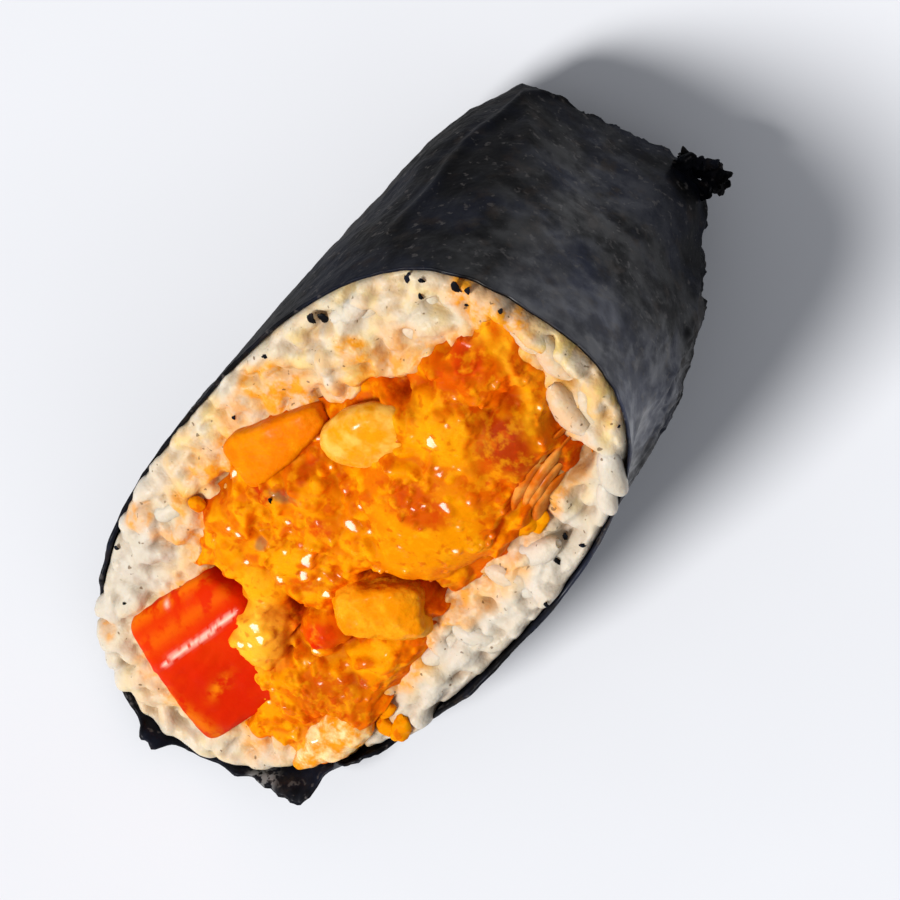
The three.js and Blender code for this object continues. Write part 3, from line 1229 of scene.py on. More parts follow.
@dataclass
class Filling:
    """The creamy filling: a bed level with the face, big lumps, smaller ones on them, and roe.

    The held lumps lie under the pieces of salmon. A row of small says how many lumps there are, their
    least and largest size, how flat and how far sunk they are, and how wide the crease round them is.
    A glint is a place and a size, and facet its rise across and along. A row of below is the share of
    the outline and the depth of a ring under the face; pole closes the last one.
    """

    outline: Outline = Outline(
        (0.3, 34.5),
        (
            (-5.3, 59.3), (-3.4, 62), (-0.5, 62.9), (3, 61.9), (8.6, 58.4), (12, 56.4), (11.6, 50.4),
            (11.7, 44), (10.8, 36.6), (11, 30.9), (11.6, 22.5), (12, 18.2), (12.2, 13.2), (9.8, 8.6),
            (6.2, 9.3), (2, 7), (-6.4, 8.6), (-10.6, 11.6), (-9.6, 19.1), (-12.4, 24.6), (-12.1, 31.5),
            (-14.7, 34.9), (-12.3, 41.3), (-9.8, 44.3), (-8.5, 46.8), (-9, 51.4), (-5.8, 53.6),
            (-4.2, 56.4),
        ),
    )
    big: tuple[Lump, ...] = lumps(
        (3.2, 43.2, 1.5, 7.2, 9.2, 3.6, -10), (0.8, 51.2, 1, 5.6, 5, 3),
        (5.6, 54.4, 1.2, 4, 5, 2.6, -10), (-1.8, 58.4, 0.7, 4.4, 3.6, 2.2),
        (-1.2, 62, 0, 4.2, 2.8, 1.5, -20), (-4.2, 35.4, 0.9, 4.4, 4.6, 2.6, 20),
        (-8.6, 29.8, 0.6, 4.2, 4, 2.2, 30), (-2.2, 29.6, 0.8, 4.4, 3.8, 2.5),
        (-0.2, 34.4, 0.8, 4, 2.6, 2.7, -30), (-12.2, 30.2, 0, 2.9, 3.4, 1.6, -20),
        (-6.4, 25.4, 0.4, 3.6, 3, 2.1), (-1.4, 20.3, 1.7, 2.7, 3.9, 2.9, 36),
        (-3.9, 24.8, 1, 2.5, 2.9, 2.2, 30), (2.9, 25, 1.4, 2.3, 2.5, 2.7, -40),
        (8.8, 25.2, 0.7, 3, 3.6, 2.4), (4.6, 18, 0.9, 4.4, 4.2, 2.5), (9.2, 20, 0.6, 2.8, 3.4, 2.2),
        (5, 12.6, 0.2, 3.2, 3.8, 2), (8.8, 13.2, 0.2, 2.4, 4.4, 1.9, -20),
    )
    held: tuple[Lump, ...] = lumps(
        (-11.6, 38.8, 0.2, 2.6, 5, 1.7, -24, 2, -8), (-5.2, 46.4, 0.9, 2.7, 4.2, 1.5, -32, 0, -12),
        (6.2, 30.6, 1, 3, 4.6, 2.2, -50, -6),
    )
    dents: tuple[Patch, ...] = patches(
        (9.4, 35.2, 2.4, 1.3, -15, 2.8), (5, 34.2, 3.2, 0.8, 25, 2), (-7.9, 31.2, 1.3, 2, 25, 0.8),
        (-6.2, 52.2, 3, 0.8, -5, 1.6), (8.2, 59, 2.2, 1.2, -30, 1.6), (-1.5, 39.6, 4.6, 1, -32, 0.6),
        (-0.6, 25.2, 1.1, 0.6, -40, 1.3), (1.2, 21.2, 0.4, 2.4, 30, 0.5), (9.3, 51.5, 0.7, 5.5, 5, 1),
        (10.9, 55.2, 1.9, 3, 15, 1.9),
    )
    crab: Outline = Outline(
        (-5.2, 12.5),
        (
            (-12.3, 10), (-10.6, 16.2), (-9.2, 22.2), (-6.2, 22.8), (-4.4, 20.8), (-3.9, 17.6),
            (-1.8, 15.4), (0.8, 13.9), (3, 10), (1.3, 4.6), (-2.5, 4.4), (-7.1, 5),
        ),
    )
    crumbs: tuple[Lump, ...] = lumps(
        (14.8, 18.8, 0.4, 1, 1.5, 0.9, 20), (13.6, 17.9, 0.4, 1.2, 0.9, 0.7),
        (12.6, 19.6, 0.4, 0.8, 1, 0.6), (-13.6, 27, 0.4, 0.9, 0.8, 0.6),
        (11, 47, 0.5, 1.6, 1.4, 0.8, 30), (12.4, 48, 0.1, 0.8, 1.5, 0.6, 10),
    )
    glints: tuple[Triple, ...] = (
        (-5.3, 46.3, 0.8), (-4.4, 47.6, 0.5), (-0.5, 51.2, 1), (4.1, 46.8, 0.7), (-1.2, 37.8, 0.9),
        (-2.7, 31.6, 0.9), (7.5, 42.9, 0.7), (-2.3, 22, 0.8), (-1.9, 19.9, 0.5), (-3, 60.4, 0.6),
        (-9.1, 28.8, 0.6), (-12.6, 32.6, 0.6), (0.9, 29.4, 0.6), (2, 48.9, 0.5), (5.9, 19.8, 0.4),
        (8.9, 22.6, 0.5), (-6, 33.4, 0.5), (3.5, 22.6, 0.6), (-3.4, 27.4, 0.6), (5.6, 59.6, 0.5),
        (3, 60.8, 0.4), (7.4, 57.4, 0.4), (-1.4, 21.2, 0.6), (-2.6, 19.2, 0.5), (-0.6, 18.8, 0.4),
        (-10.2, 28.7, 0.5), (-3.4, 32.9, 0.5), (-4.7, 30.5, 0.45), (3.4, 20.7, 0.5), (8.2, 19.6, 0.4),
        (5.3, 14.8, 0.4), (-2.1, 29.9, 0.8), (2.6, 15.4, 0.4), (-6.8, 26.6, 0.5), (3.3, 40, 0.4),
    )
    calm: tuple[Patch, ...] = patches(
        (5, 42, 5.5, 7, -10, 0.97), (-1.9, 21.6, 3, 5.2, 36, 0.85), (6.2, 30.6, 3.4, 4.6, -50, 0.8),
        (5.2, 55.6, 3.6, 3.6, -20, 0.85), (2.9, 25, 2.6, 2.8, -40, 0.9), (-2.8, 60, 3, 1.8, 0, 0.5),
        (-2.4, 37.4, 3, 2.4, 0, 0.5), (5.2, 60, 2.4, 3, 40, 0.7),
    )
    roe: tuple[Patch, ...] = patches(
        (6.4, 18.2, 5, 3.6, 0, 1), (1.2, 45.4, 3.4, 2.6, 0, 0.8), (-6, 31.5, 4.5, 4, 0, 0.6),
        (-2, 60, 3.5, 2, 0, 0.6), (5.4, 59.4, 3.2, 2.4, 0, 0.8), (4, 11.5, 4, 3, 0, 0.6),
    )
    base: Rgb = (222, 132, 0)
    painted_shade_glow: Rgb = (238, 98, 0)
    # Painted shade: the dark rows at (9.3, 35.9), (5, 34.2), (-0.4, 24.6), (-6, 52.3), (8.8, 52) and (11,
    # 55.4) darken holes, creases and the filling under the edges of lumps.
    tints: tuple[Patch, ...] = patches(
        (5.4, 42, 5.8, 6.6, -10, 0.8, 228, 142, 0), (-4.4, 37, 4.2, 3.4, 0, 0.4, 216, 108, 0),
        (-2, 56.6, 3.8, 2.4, 0, 0.8, 200, 78, 2), (2, 45, 3.4, 2.2, 0, 0.85, 188, 62, 2),
        (5.2, 55.4, 4.6, 4.2, -20, 1, 158, 42, 4), (5.8, 51.2, 2.8, 2.4, 0, 0.6, 204, 86, 2),
        (-0.2, 52, 3.8, 3, 20, 0.75, 232, 152, 8), (8.8, 52, 0.9, 5.8, 8, 0.9, 132, 46, 4),
        (11, 55.4, 2.2, 3.2, 15, 0.95, 106, 42, 8), (1.2, 59.4, 2.6, 1.8, 0, 0.8, 192, 68, 4),
        (-2.8, 60, 2.8, 1.5, 0, 0.9, 194, 40, 4), (-4.8, 62.6, 3, 1.8, -20, 0.8, 228, 160, 30),
        (1.4, 62, 3.4, 1.8, -20, 0.9, 232, 160, 24), (5.6, 59.2, 1.6, 3.2, 50, 0.8, 232, 158, 18),
        (-6, 52.3, 3.2, 1.2, -5, 0.95, 150, 36, 2), (-8.8, 52.3, 2, 1.2, 0, 0.8, 206, 92, 8),
        (-4.6, 25, 2.4, 2.8, 36, 0.8, 236, 160, 16), (-1.6, 20.6, 2.9, 4.6, 36, 1, 246, 176, 48),
        (2.9, 25, 2.4, 2.5, -40, 1, 204, 34, 0), (-0.4, 24.6, 1.6, 1, -30, 0.85, 150, 38, 2),
        (3.6, 21.7, 1.6, 1.2, 0, 0.7, 234, 166, 14), (7.2, 19, 4.2, 2.8, 20, 0.75, 186, 72, 4),
        (-9, 29.6, 3.4, 3.4, 0, 0.4, 228, 142, 4), (-13.2, 27.2, 1.4, 1.1, 0, 0.8, 192, 50, 2),
        (-9.9, 33.9, 1.6, 1.1, 30, 0.9, 176, 36, 2), (-8.2, 35.6, 1.4, 0.5, 30, 0.8, 124, 88, 62),
        (-7.4, 39.4, 0.8, 2.4, -20, 0.8, 172, 46, 2), (-3, 35.3, 1.5, 1, 0, 0.8, 196, 52, 2),
        (8.3, 22, 2, 1.4, 0, 0.8, 160, 50, 4), (-6.8, 29.4, 0.5, 0.8, 0, 0.7, 140, 106, 70),
        (9.3, 35.9, 2.6, 1.8, 0, 0.9, 120, 34, 2), (5, 34.2, 3.4, 0.9, 25, 0.8, 150, 44, 2),
        (-0.4, 34.6, 3.4, 2.2, -30, 0.7, 230, 142, 4), (13.6, 46, 2.4, 7, 0, 0.6, 220, 134, 14),
        (9.6, 12.4, 2.4, 3.6, -18, 0.8, 232, 166, 44),
    )
    small: Rows = (
        (120, 1.3, 2.5, 0.7, 0.45, 0.4), (300, 0.7, 1.2, 0.75, 0.45, 0.3),
        (800, 0.4, 0.75, 0.8, 0.4, 0.25),
    )
    tiny_glints: int = 260
    roe_density: float = 4.0
    facet: Pair = (0.21, -0.3)
    to_light: Pair = (0.92, 0.37)
    half_sides: Pair = (12.5, 28.0)
    below: tuple[Pair, ...] = ((0.97, -3.4), (0.86, -5.4), (0.6, -8.0), (0.3, -9.6))
    pole: float = -10.2
    lowest: float = -2.6
    overlap: float = 1.05
    amber: Rgb = (232, 152, 6)
    red: Rgb = (198, 72, 2)
    cells: tuple[int, int] = (190, 360)
    relief: Relief = field(default_factory=Relief)
    wet: Points = field(init=False)

    def sculpt(self) -> None:
        """Fills the relief: the bed, the big lumps, then ever smaller ones on what is there."""
        r = self.relief
        rng = np.random.default_rng(5)
        share = self.outline.share(r.x, r.s)
        ragged = share + 0.08 * r.noise(3.0, 41)
        bed = 0.4 + 0.8 * (1 - np.clip(share, 0, 1) ** 4) - 1.1 * smoothstep(0.84, 1.04, ragged)
        r.height = bed - 26 * np.clip(ragged - 1.03, 0, 1)
        for number, lump in enumerate(self.big, 1):
            r.stamp(lump, 0.9, number)
        for number, lump in enumerate(self.held, number + 1):
            r.stamp(lump, 1.0, number)
        wobble = r.noise(3.0, 17)
        calm = strongest(self.calm, r.x, r.s, wobble)
        for count, low, high, flat, sink, blend in self.small:
            x, s = rng.uniform(-15, 15, count), rng.uniform(6, 64, count)
            size = rng.uniform(low, high, count)
            here = r.top(x, s)
            quiet, out = r.at(calm, x, s), self.outline.share(x, s)
            stretch, turns = rng.uniform(0.8, 1.35, count), rng.uniform(0, 180, count)
            keep = (out < 0.97) & (rng.random(count) > quiet)
            for i in np.flatnonzero(keep):
                number += 1
                half = (size[i] * stretch[i], size[i] / stretch[i], size[i] * flat)
                middle = (x[i], s[i], here[i] - sink * size[i])
                r.stamp(Lump(middle, half, (turns[i],)), blend, number)
        r.height += 0.08 * r.noise(1.8, 23) * (1 - 0.5 * calm)
        low = -0.9 + 0.1 * wobble
        r.height = low + (r.height - low) * smoothstep(1.08, 0.93, ragged)
        self.add_roe(rng, number)
        fine = r.noise(2.0, 29)
        for dent in self.dents:
            r.height -= dent.weight(r.x, r.s, fine)
        r.height -= 4.5 * smoothstep(1.04, 0.92, self.crab.share(r.x, r.s))
        self.add_glints()

    def add_glints(self) -> None:
        """Turns small spots into wet facets that face midway between the light and the viewer.

        Inside a spot the height is a plane that rises by the facet's slopes, slightly domed.
        """
        r = self.relief
        self.wet = np.zeros(r.x.shape)
        ragged = r.noise(0.9, 31, 2)
        rng = np.random.default_rng(64)
        count = self.tiny_glints
        x, s = rng.uniform(-13, 12, count), rng.uniform(8, 62, count)
        here = (self.outline.share(x, s) < 0.9) & (self.crab.share(x, s) > 1.1)
        here &= np.hypot(x - 5, s - 55) > 3.6
        small = zip(x[here], s[here], rng.uniform(0.16, 0.4, here.sum()))
        for x, s, size in [*self.glints, *small]:
            dx, ds = r.x - x, r.s - s
            share = smoothstep(1.1, 0.75, np.hypot(dx, ds * 1.2) / size + 0.5 * ragged)
            here = r.top(x, s) + 0.15 * size
            plane = here + self.facet[0] * dx + self.facet[1] * ds - 0.05 * (dx**2 + ds**2)
            r.height = r.height * (1 - share) + plane * share
            self.wet = np.maximum(self.wet, share)

    def add_roe(self, rng: np.random.Generator, number: int) -> None:
        """Strews small round roe where the patches say.

        Args:
            rng: the numbers' source.
            number: the last lump's number.
        """
        r = self.relief
        for patch in self.roe:
            count = int(self.roe_density * patch.half[0] * patch.half[1] * patch.strength)
            x = patch.middle[0] + patch.half[0] * rng.uniform(-1, 1, count)
            s = patch.middle[1] + patch.half[1] * rng.uniform(-1, 1, count)
            size = rng.uniform(0.26, 0.4, count)
            here = r.top(x, s)
            for i in np.flatnonzero(self.outline.share(x, s) < 0.95):
                number += 1
                r.stamp(Lump((x[i], s[i], here[i] - 0.05), (size[i],) * 3), 0.12, number)

    def tint(self, x: Points, s: Points) -> Points:
        """Colour over the face: the base, each lump's own shade, the patches, and the painted glow.

        Places that are turned away from the light are painted towards the glow, redder: painted shade, as
        where light soaks through.

        Args:
            x, s: across and along, mm.

        Returns:
            Linear colours.
        """
        wobble = flat_ripple(x, s, 2.2, 91)
        quiet = strongest(self.calm, x, s, wobble)[..., None]
        own = (self.relief.shades(x, s, 3, 0.1)[..., None] - 0.5) * (1 - 0.6 * quiet)
        base, amber, red = (light_of(c) for c in (self.base, self.amber, self.red))

        def shaded(colour: Points, by: float) -> Points:
            """The colour moved towards amber or red by each lump's own shade."""
            colour = colour + np.maximum(own, 0) * by * (amber - colour)
            return colour + np.maximum(-own, 0) * by * (red - colour)

        colour = shaded(np.broadcast_to(base, (*x.shape, 3)), 1.5)
        for patch in self.tints:
            share = patch.weight(x, s, wobble)[..., None]
            colour = colour * (1 - share) + share * light_of(patch.colour)
        colour = shaded(colour, 0.7)
        # Painted shade: places turned away from the light move towards the glow.
        away = self.turned_away(x, s)[..., None] * (1 - 0.65 * quiet)
        return colour + away * (light_of(self.painted_shade_glow) - colour)

    def turned_away(self, x: Points, s: Points) -> Points:
        """How far each place faces away from light that falls from the left: share = step(n . light).

        Args:
            x, s: across and along, mm.

        Returns:
            Shares, up to 0.75.
        """
        r = self.relief
        rise_s, rise_x = np.gradient(r.blurred(r.height, 0.2), r.step)
        facing = (self.to_light[0] + self.to_light[1] * rise_x) / np.sqrt(1 + rise_x**2 + rise_s**2)
        return r.at(0.75 * smoothstep(0.85, 0.4, facing), x, s)

    @staticmethod
    def crumb(lump: Lump) -> Surface:
        """A small separate blob of filling: a ball stretched to the lump and made lumpy by noise.

        Args:
            lump: its place and size.

        Returns:
            Points in the face's frame and faces.
        """
        shape = round_box_rings(22, 34, 2.2) * np.asarray(lump.half)
        noise = solid_ripple(shape + lump.middle[0], 0.9, 88, 2)
        shape = shape * (1 + 0.28 * noise[..., None])
        return closed_rings(shape @ turned(*lump.turns).T + np.asarray(lump.middle))

    def build(self, material: Material) -> Piece:
        """Meshes the relief: a square grid pressed into the outline, closed below by shrinking rings.

        Args:
            material: the finish.

        Returns:
            The piece.
        """
        cols, rows = self.cells
        u, v = np.meshgrid(np.linspace(-1, 1, cols), np.linspace(-1, 1, rows))
        a, b = u * np.sqrt(1 - v * v / 2), v * np.sqrt(1 - u * u / 2)
        angle, far = np.arctan2(b, a), np.hypot(a, b)
        aspect = np.arctan2(np.sin(angle) * self.half_sides[1], np.cos(angle) * self.half_sides[0])
        radius = self.outline.radius(aspect) * far * self.overlap
        x = self.outline.middle[0] + radius * np.cos(aspect)
        s = self.outline.middle[1] + radius * np.sin(aspect)
        h = np.maximum(self.relief.top(x, s), self.lowest)
        top = np.stack([x, s, h], -1).reshape(-1, 3)
        number = np.arange(rows * cols).reshape(rows, cols)
        quads = np.stack([number[:-1, :-1], number[:-1, 1:], number[1:, 1:], number[1:, :-1]])
        quads = quads.reshape(4, -1).T
        loop = np.concatenate([number[0, :-1], number[:-1, -1], number[-1, :0:-1], number[:0:-1, 0]])
        middle = np.array([*self.outline.middle, 0.0])
        below = []
        for shrink, depth in self.below:
            ring = middle + (top[loop] - middle) * [shrink, shrink, 0]
            below.append(ring + [0, 0, depth])
        rings = np.stack([top[loop], *below])
        start, count = len(top), len(loop)
        walls = ring_faces(len(rings), count, start - count)
        walls[:count, :2] = np.stack([loop, np.roll(loop, -1)], 1)
        points = np.concatenate([top, *below, [middle + [0, 0, self.pole]]])
        cap = fan(len(points) - 1, np.arange(count)[::-1] + len(points) - 1 - count)
        faces = np.concatenate([quads, walls, cap])
        x, s = points[:, 0], points[:, 1]
        # Painted shade: the hollow mark darkens the relief's hollows.
        hollow = self.relief.at(self.relief.hollow(1.1, 1.1), x, s)
        marks = {"tint": self.tint(x, s), "hollow": hollow, "wet": self.relief.at(self.wet, x, s)}
        points, faces = joined([(points, faces), *map(self.crumb, self.crumbs)])
        extra = len(points) - len(marks["wet"])
        plain = {key: np.zeros(extra) for key in ("hollow", "wet")}
        plain["tint"] = np.full((extra, 3), light_of(self.base))
        marks = {key: np.concatenate([value, plain[key]]) for key, value in marks.items()}
        mesh = (BALL.place(*points.T), faces)
        return finished("filling_creamy", mesh, marks, material, Slot.FILLING, "filling")


# ---- Pieces in the filling ---------------------


def round_box_rings(rings: int, around: int, power: float) -> Points:
    """Unit rounded box as a stack of rings: a sphere pushed out to the superellipsoid of a power.

    Args:
        rings: from one end to the other.
        around: points in each.
        power: 2 for a ball, larger for a box with smaller edges.

    Returns:
        (rings, around, 3), within -1 to 1, with the ends at the along axis.
    """
    tilt = np.linspace(-np.pi / 2, np.pi / 2, rings + 2)[1:-1, None]
    turn = np.linspace(0, 2 * np.pi, around, endpoint=False)[None, :]
    ball = np.stack(
        np.broadcast_arrays(np.cos(tilt) * np.cos(turn), np.sin(tilt), np.cos(tilt) * np.sin(turn)),
        -1,
    )
    grown = (np.abs(ball) ** power).sum(-1, keepdims=True) ** (-1 / power)
    return ball * grown


@dataclass(frozen=True)
class Bite:
    """One piece of fish or crab: a rounded block in the cut face."""

    name: str
    middle: Triple
    half: Triple
    turns: tuple[float, ...]
    power: float = 5.0
    rough: float = 0.18
    seed: int = 1
    taper: float = 0.0

    def build(self, material: Material, slot: Slot, node: str) -> Piece:
        """A rounded box scaled, narrowed, roughened by noise, turned and set in place.

        Args:
            material: the finish.
            slot: the record's slot.
            node: the solid that it replaces.

        Returns:
            The piece.
        """
        unit = round_box_rings(70, 110, self.power)
        shape = unit * np.asarray(self.half)
        shape[..., 0] *= 1 + self.taper * unit[..., 1]
        noise = solid_ripple(shape, 3.2, self.seed, 4)
        shape = shape * (1 + self.rough * noise[..., None] / np.asarray(self.half))
        mesh = set_in(shape, self.middle, self.turns)
        # Painted shade: darker towards the lower side, which sinks into the filling.
        marks = {"hollow": with_poles(smoothstep(0.2, -0.9, unit[..., 2]), 0.5)}
        return finished(self.name, mesh, marks, material, slot, node)


@dataclass(frozen=True)
class CrabStick:
    """The large chunk of crab stick: a rounded box stretched between the ends of three edges.

    fold is where the ridge lies between the left edge and the right one.
    """

    left: tuple[Triple, ...] = ((-12.3, 9.5, 0.7), (-9.2, 20.7, 0.9))
    ridge: tuple[Triple, ...] = ((-7.5, 8.8, 3.1), (-4.5, 22.4, 3.3))
    right: tuple[Triple, ...] = ((1.4, 3.8, 1.8), (4.3, 15.6, 2.2))
    sunk: float = -3.6
    fold: float = 0.36

    def build(self, material: Material) -> Piece:
        """Cross-sections from the ridge's two ends: left edge, ridge and right edge, then below.

        Args:
            material: the finish.

        Returns:
            The piece.
        """
        unit = round_box_rings(110, 170, 8.0)
        across, along, out = np.moveaxis(unit, -1, 0)
        t = (along[..., None] + 1) / 2
        sides = (np.asarray(side, float) for side in (self.left, self.ridge, self.right))
        left, ridge, right = (side[0] * (1 - t) + side[1] * t for side in sides)
        share = (across + 1) / 2
        first = np.clip(share / self.fold, 0, 1)[..., None]
        second = np.clip((share - self.fold) / (1 - self.fold), 0, 1)[..., None]
        top = left + (ridge - left) * first + (right - ridge) * second
        # Along the ridge a raised bead, wet, with a bent, broken line of painted highlight.
        bent = 0.008 * flat_ripple(top[..., 1], 0 * share, 2.4, 15, 2)
        crest = bell(share - self.fold + bent, 0.02)
        broken = smoothstep(-0.5, 0.0, flat_ripple(top[..., 1], share * 30, 0.5, 20, 2))
        broken = broken * smoothstep(10.2, 11.2, top[..., 1]) * smoothstep(21.8, 20.8, top[..., 1])
        top[..., 2] += 0.2 * crest
        # A painted glint, a pale spot on the left side; sauce in a tan patch and at the near end; orange
        # along the rims.
        spot = np.exp(-(((top[..., 0] + 10.2) / 0.25) ** 2) - ((top[..., 1] - 15.2) / 0.3) ** 2)
        tan = 0.9 * np.exp(-(((top[..., 0] + 1.5) / 0.6) ** 2) - ((top[..., 1] - 12.0) / 1.8) ** 2)
        end = 0.5 * bell(top[..., 1] - 6.2 + 0.2 * top[..., 0], 1.0) * (share > 0.5)
        rim = 0.55 * smoothstep(0.12, 0.0, share) + 0.3 * bell(share - 0.2, 0.06)
        # From the sunk bottom straight up to the top, fibrous and dented above.
        bottom = top.copy()
        bottom[..., 2] = self.sunk
        level = ((out + 1) / 2)[..., None]
        shape = bottom * (1 - level) + top * level
        fibres = ripple(shape[..., 0] * 1.6, shape[..., 1] * 0.35, shape[..., 2] * 1.6, 1.0, 7, 2)
        dents = solid_ripple(shape, 3.2, 12, 2)
        shape[..., 2] += (0.1 * fibres + 0.22 * dents) * smoothstep(-0.2, 0.6, out)
        # The hollow mark: the right face beyond the ridge deeper red, and painted shade on the lower sides.
        deep = 0.55 * smoothstep(self.fold - 0.02, self.fold + 0.3, share) + smoothstep(0.6, -0.4, out)
        lit = smoothstep(0.1, 0.8, out) * smoothstep(0.97, 0.86, np.abs(along))
        # Painted highlight: the broken ridge line and the glint spot, on the top only.
        streak = np.clip(crest * broken + spot, 0, 1) * lit * 0.85
        marks = {
            "hollow": np.clip(deep, 0, 1), "wet": 0.5 * crest * lit, "streak": streak,
            "smear": np.clip(tan + end + rim, 0, 1) * smoothstep(0.1, 0.8, out),
        }
        marks = {key: with_poles(value) for key, value in marks.items()}
        return finished("crab_chunk", set_in(shape), marks, material, Slot.CRAB, "crab_stick")


@dataclass(frozen=True)
class CrabLeaves:
    """Thin leaves of crab stick that stand on edge beside the large lump."""

    feet: tuple[Pair, ...] = ((8.8, 52.8), (9.8, 52.6), (10.6, 51.6), (11.3, 50.6))
    half: Triple = (0.5, 6.2, 1.3)

    def build(self, material: Material) -> Piece:
        """Four thin rounded sheets, each bowed across by the square of its length and waved.

        Args:
            material: the finish.

        Returns:
            The piece, with all leaves in one mesh.
        """
        leaves, hollows = [], []
        for i, (x, s) in enumerate(self.feet):
            unit = round_box_rings(48, 40, 3.0)
            shape = unit * np.asarray(self.half) * [1, 1 - 0.14 * i, 1]
            shape[..., 0] *= 1 - 0.75 * unit[..., 1] ** 2
            shape[..., 0] += 0.25 * unit[..., 1] ** 2
            wave = flat_ripple(shape[..., 1], shape[..., 2], 2.0, 50 + i, 2)
            shape[..., 0] += 0.26 * wave
            shape[..., 2] -= 1.7 * unit[..., 1] ** 2
            leaves.append(set_in(shape, (x, s, 1.5 - 0.4 * i), (7 + 3 * (i % 2), 0, -17)))
            # Painted shade: darker towards the lower side of each leaf.
            hollows.append(with_poles(smoothstep(0.3, -0.8, unit[..., 2]), 0.5))
        marks = {"hollow": np.concatenate(hollows)}
        return finished("crab_leaf_strips", joined(leaves), marks, material, Slot.CRAB_LEAF, "crab_leaves")


# ---- Rice --------------------------------------


@dataclass
class Rice:
    """The rice: packed grains round the filling, sunk below it, and drawn down the ball's skin.

    edge is the radius of the rounded rim; gap is painted shade in the dark opening beside the crab
    leaves. Small bits lie on the grains, and pits are pressed between them.
    """

    filling: Outline
    relief: Relief = field(default_factory=lambda: Relief(warp=0.32, warp_size=1.7))
    around: int = 600
    inset: float = 0.5
    edge: float = 1.3
    grain_half: Triple = (2.5, 1.15, 1.15)
    spacing: float = 2.0
    mounds: tuple[Patch, ...] = patches(
        (-10.3, 49.8, 3.2, 4.2, 30, 1.1), (-4.6, 56.4, 1.8, 2.6, 0, 0.8), (16, 42, 3.4, 4.4, 0, 0.9),
        (13.4, 29, 2.4, 6.5, 0, 0.7), (11, 61, 2.6, 5.6, 48, 0.9), (-11.5, 59.5, 3, 5, -40, 0.5),
        (11.5, 56.4, 1.1, 2.2, -10, -1.3), (15.6, 48.6, 1.2, 2.4, 0, -0.5), (1.5, 65, 5, 1.3, 0, 0.5),
        (-14.6, 22, 2.4, 6, 0, 0.4), (14.8, 20.4, 1.6, 2.6, 0, 0.5),
    )
    stains: tuple[Patch, ...] = patches(
        (-9.5, 56, 9, 9, 30, 0.5), (6, 63, 9, 4.5, 0, 0.8), (13.2, 53, 3, 4, 20, 0.3),
        (11, 61.6, 4, 1.6, -35, 0.6), (-13.5, 45, 4.5, 8, 0, 0.6), (-15.5, 31, 4, 8, 0, 0.6),
        (13, 40.5, 2, 6, 0, 0.5), (-2, 4, 8, 3, 0, 0.4), (-9, 51, 3.6, 3.2, 0, 0.8),
    )
    smears: tuple[Patch, ...] = patches(
        (-13.2, 43.4, 4.4, 3.2, 30, 1.3), (-10.6, 52.2, 2, 1.2, 0, 1.2), (-7.4, 55.4, 2.4, 3, 0, 0.6),
        (-15.6, 37.8, 2, 3.6, 0, 0.6), (-8.6, 47.6, 1.9, 3.4, 30, 0.7), (-14.4, 30.4, 2.6, 3, 0, 1),
        (-14.1, 21.5, 2, 1.6, 0, 0.6), (-12.8, 23.2, 1.6, 2.2, 0, 0.9), (-14.1, 26.3, 1.8, 1.8, 0, 0.8),
        (-13.3, 7.5, 1.2, 1, 0, 0.8), (10.6, 59, 3, 0.8, -40, 0.4), (-2.4, 63.8, 4.8, 2.4, 0, 1.3),
        (3, 63.2, 3.6, 1.4, -20, 0.9), (12.4, 42.6, 1.8, 4.6, 0, 0.55), (12.6, 36.4, 1.6, 3.6, 0, 0.5),
        (14.6, 18.6, 1.6, 1.4, 0, 0.5), (4, 6.4, 1.8, 1.2, 0, 0.5), (-17.2, 21.6, 1.4, 1.8, 0, 0.9),
    )
    shaded_gap: Patch = Patch((11.7, 55.6), (1.3, 2.8), 0, 1.3)
    bits: int = 260
    pits: int = 70

    def sculpt(self) -> None:
        """Fills the relief with grains laid over one another, lower where the filling sits."""
        r = self.relief
        rng = np.random.default_rng(21)
        r.height = -1.4 + 0.2 * r.noise(3.0, 5)
        x, s = self.scatter(rng, self.spacing, (-21, 21), (-2, 69))
        a, b, c = self.grain_half
        for number in range(len(x)):
            grow = rng.uniform(0.8, 1.1)
            half = (a * grow * rng.uniform(0.85, 1.08), b * grow, c * grow)
            lift = rng.normal(-1.0, 0.22)
            turns = (rng.uniform(0, 180), rng.normal(0, 10), rng.normal(0, 6))
            r.stamp(Lump((x[number], s[number], lift), half, turns), 0.22, number + 1)
        self.strew_bits(rng, len(x))
        soft = r.blurred(r.height, 0.14)
        r.height = soft + 0.1 * r.noise(1.3, 8)
        r.height += 0.3 * r.noise(6.0, 3, 2)
        fine = r.noise(2.0, 29)
        for mound in self.mounds:
            r.height += mound.weight(r.x, r.s, fine)
        # Below the filling the rice is sunk out of sight.
        inside = self.filling.share(r.x, r.s) + 0.06 * fine
        r.height -= 3.2 * smoothstep(0.94, 0.8, inside)

    def strew_bits(self, rng: np.random.Generator, number: int) -> None:
        """Lays small cut bits of grain over the whole ones, and presses a few ragged pits.

        Args:
            rng: the numbers' source.
            number: the last grain's number.
        """
        r = self.relief
        count = self.bits
        x, s = rng.uniform(-20, 20, count), rng.uniform(0, 68, count)
        size, turns = rng.uniform(0.6, 1.1, count), rng.uniform(0, 180, count)
        here = r.top(x, s)
        for i in range(count):
            middle = (x[i], s[i], here[i] - 0.34 * size[i])
            half = (size[i], 1.4 * size[i], 0.75 * size[i])
            r.stamp(Lump(middle, half, (turns[i],)), 0.15, number + 1 + i)
        count = self.pits
        for x, s, size in zip(
            rng.uniform(-20, 20, count), rng.uniform(0, 68, count), rng.uniform(0.3, 0.6, count)
        ):
            i, j = int((s - r.low_s) / r.step), int((x - r.low_x) / r.step)
            part = (slice(max(i - 12, 0), i + 13), slice(j - 12, j + 13))
            away = np.hypot(r.x[part] + 2 * r.shift_x[part] - x, r.s[part] + 2 * r.shift_s[part] - s)
            r.height[part] -= 0.8 * size * smoothstep(1.2, 0.3, away / size)

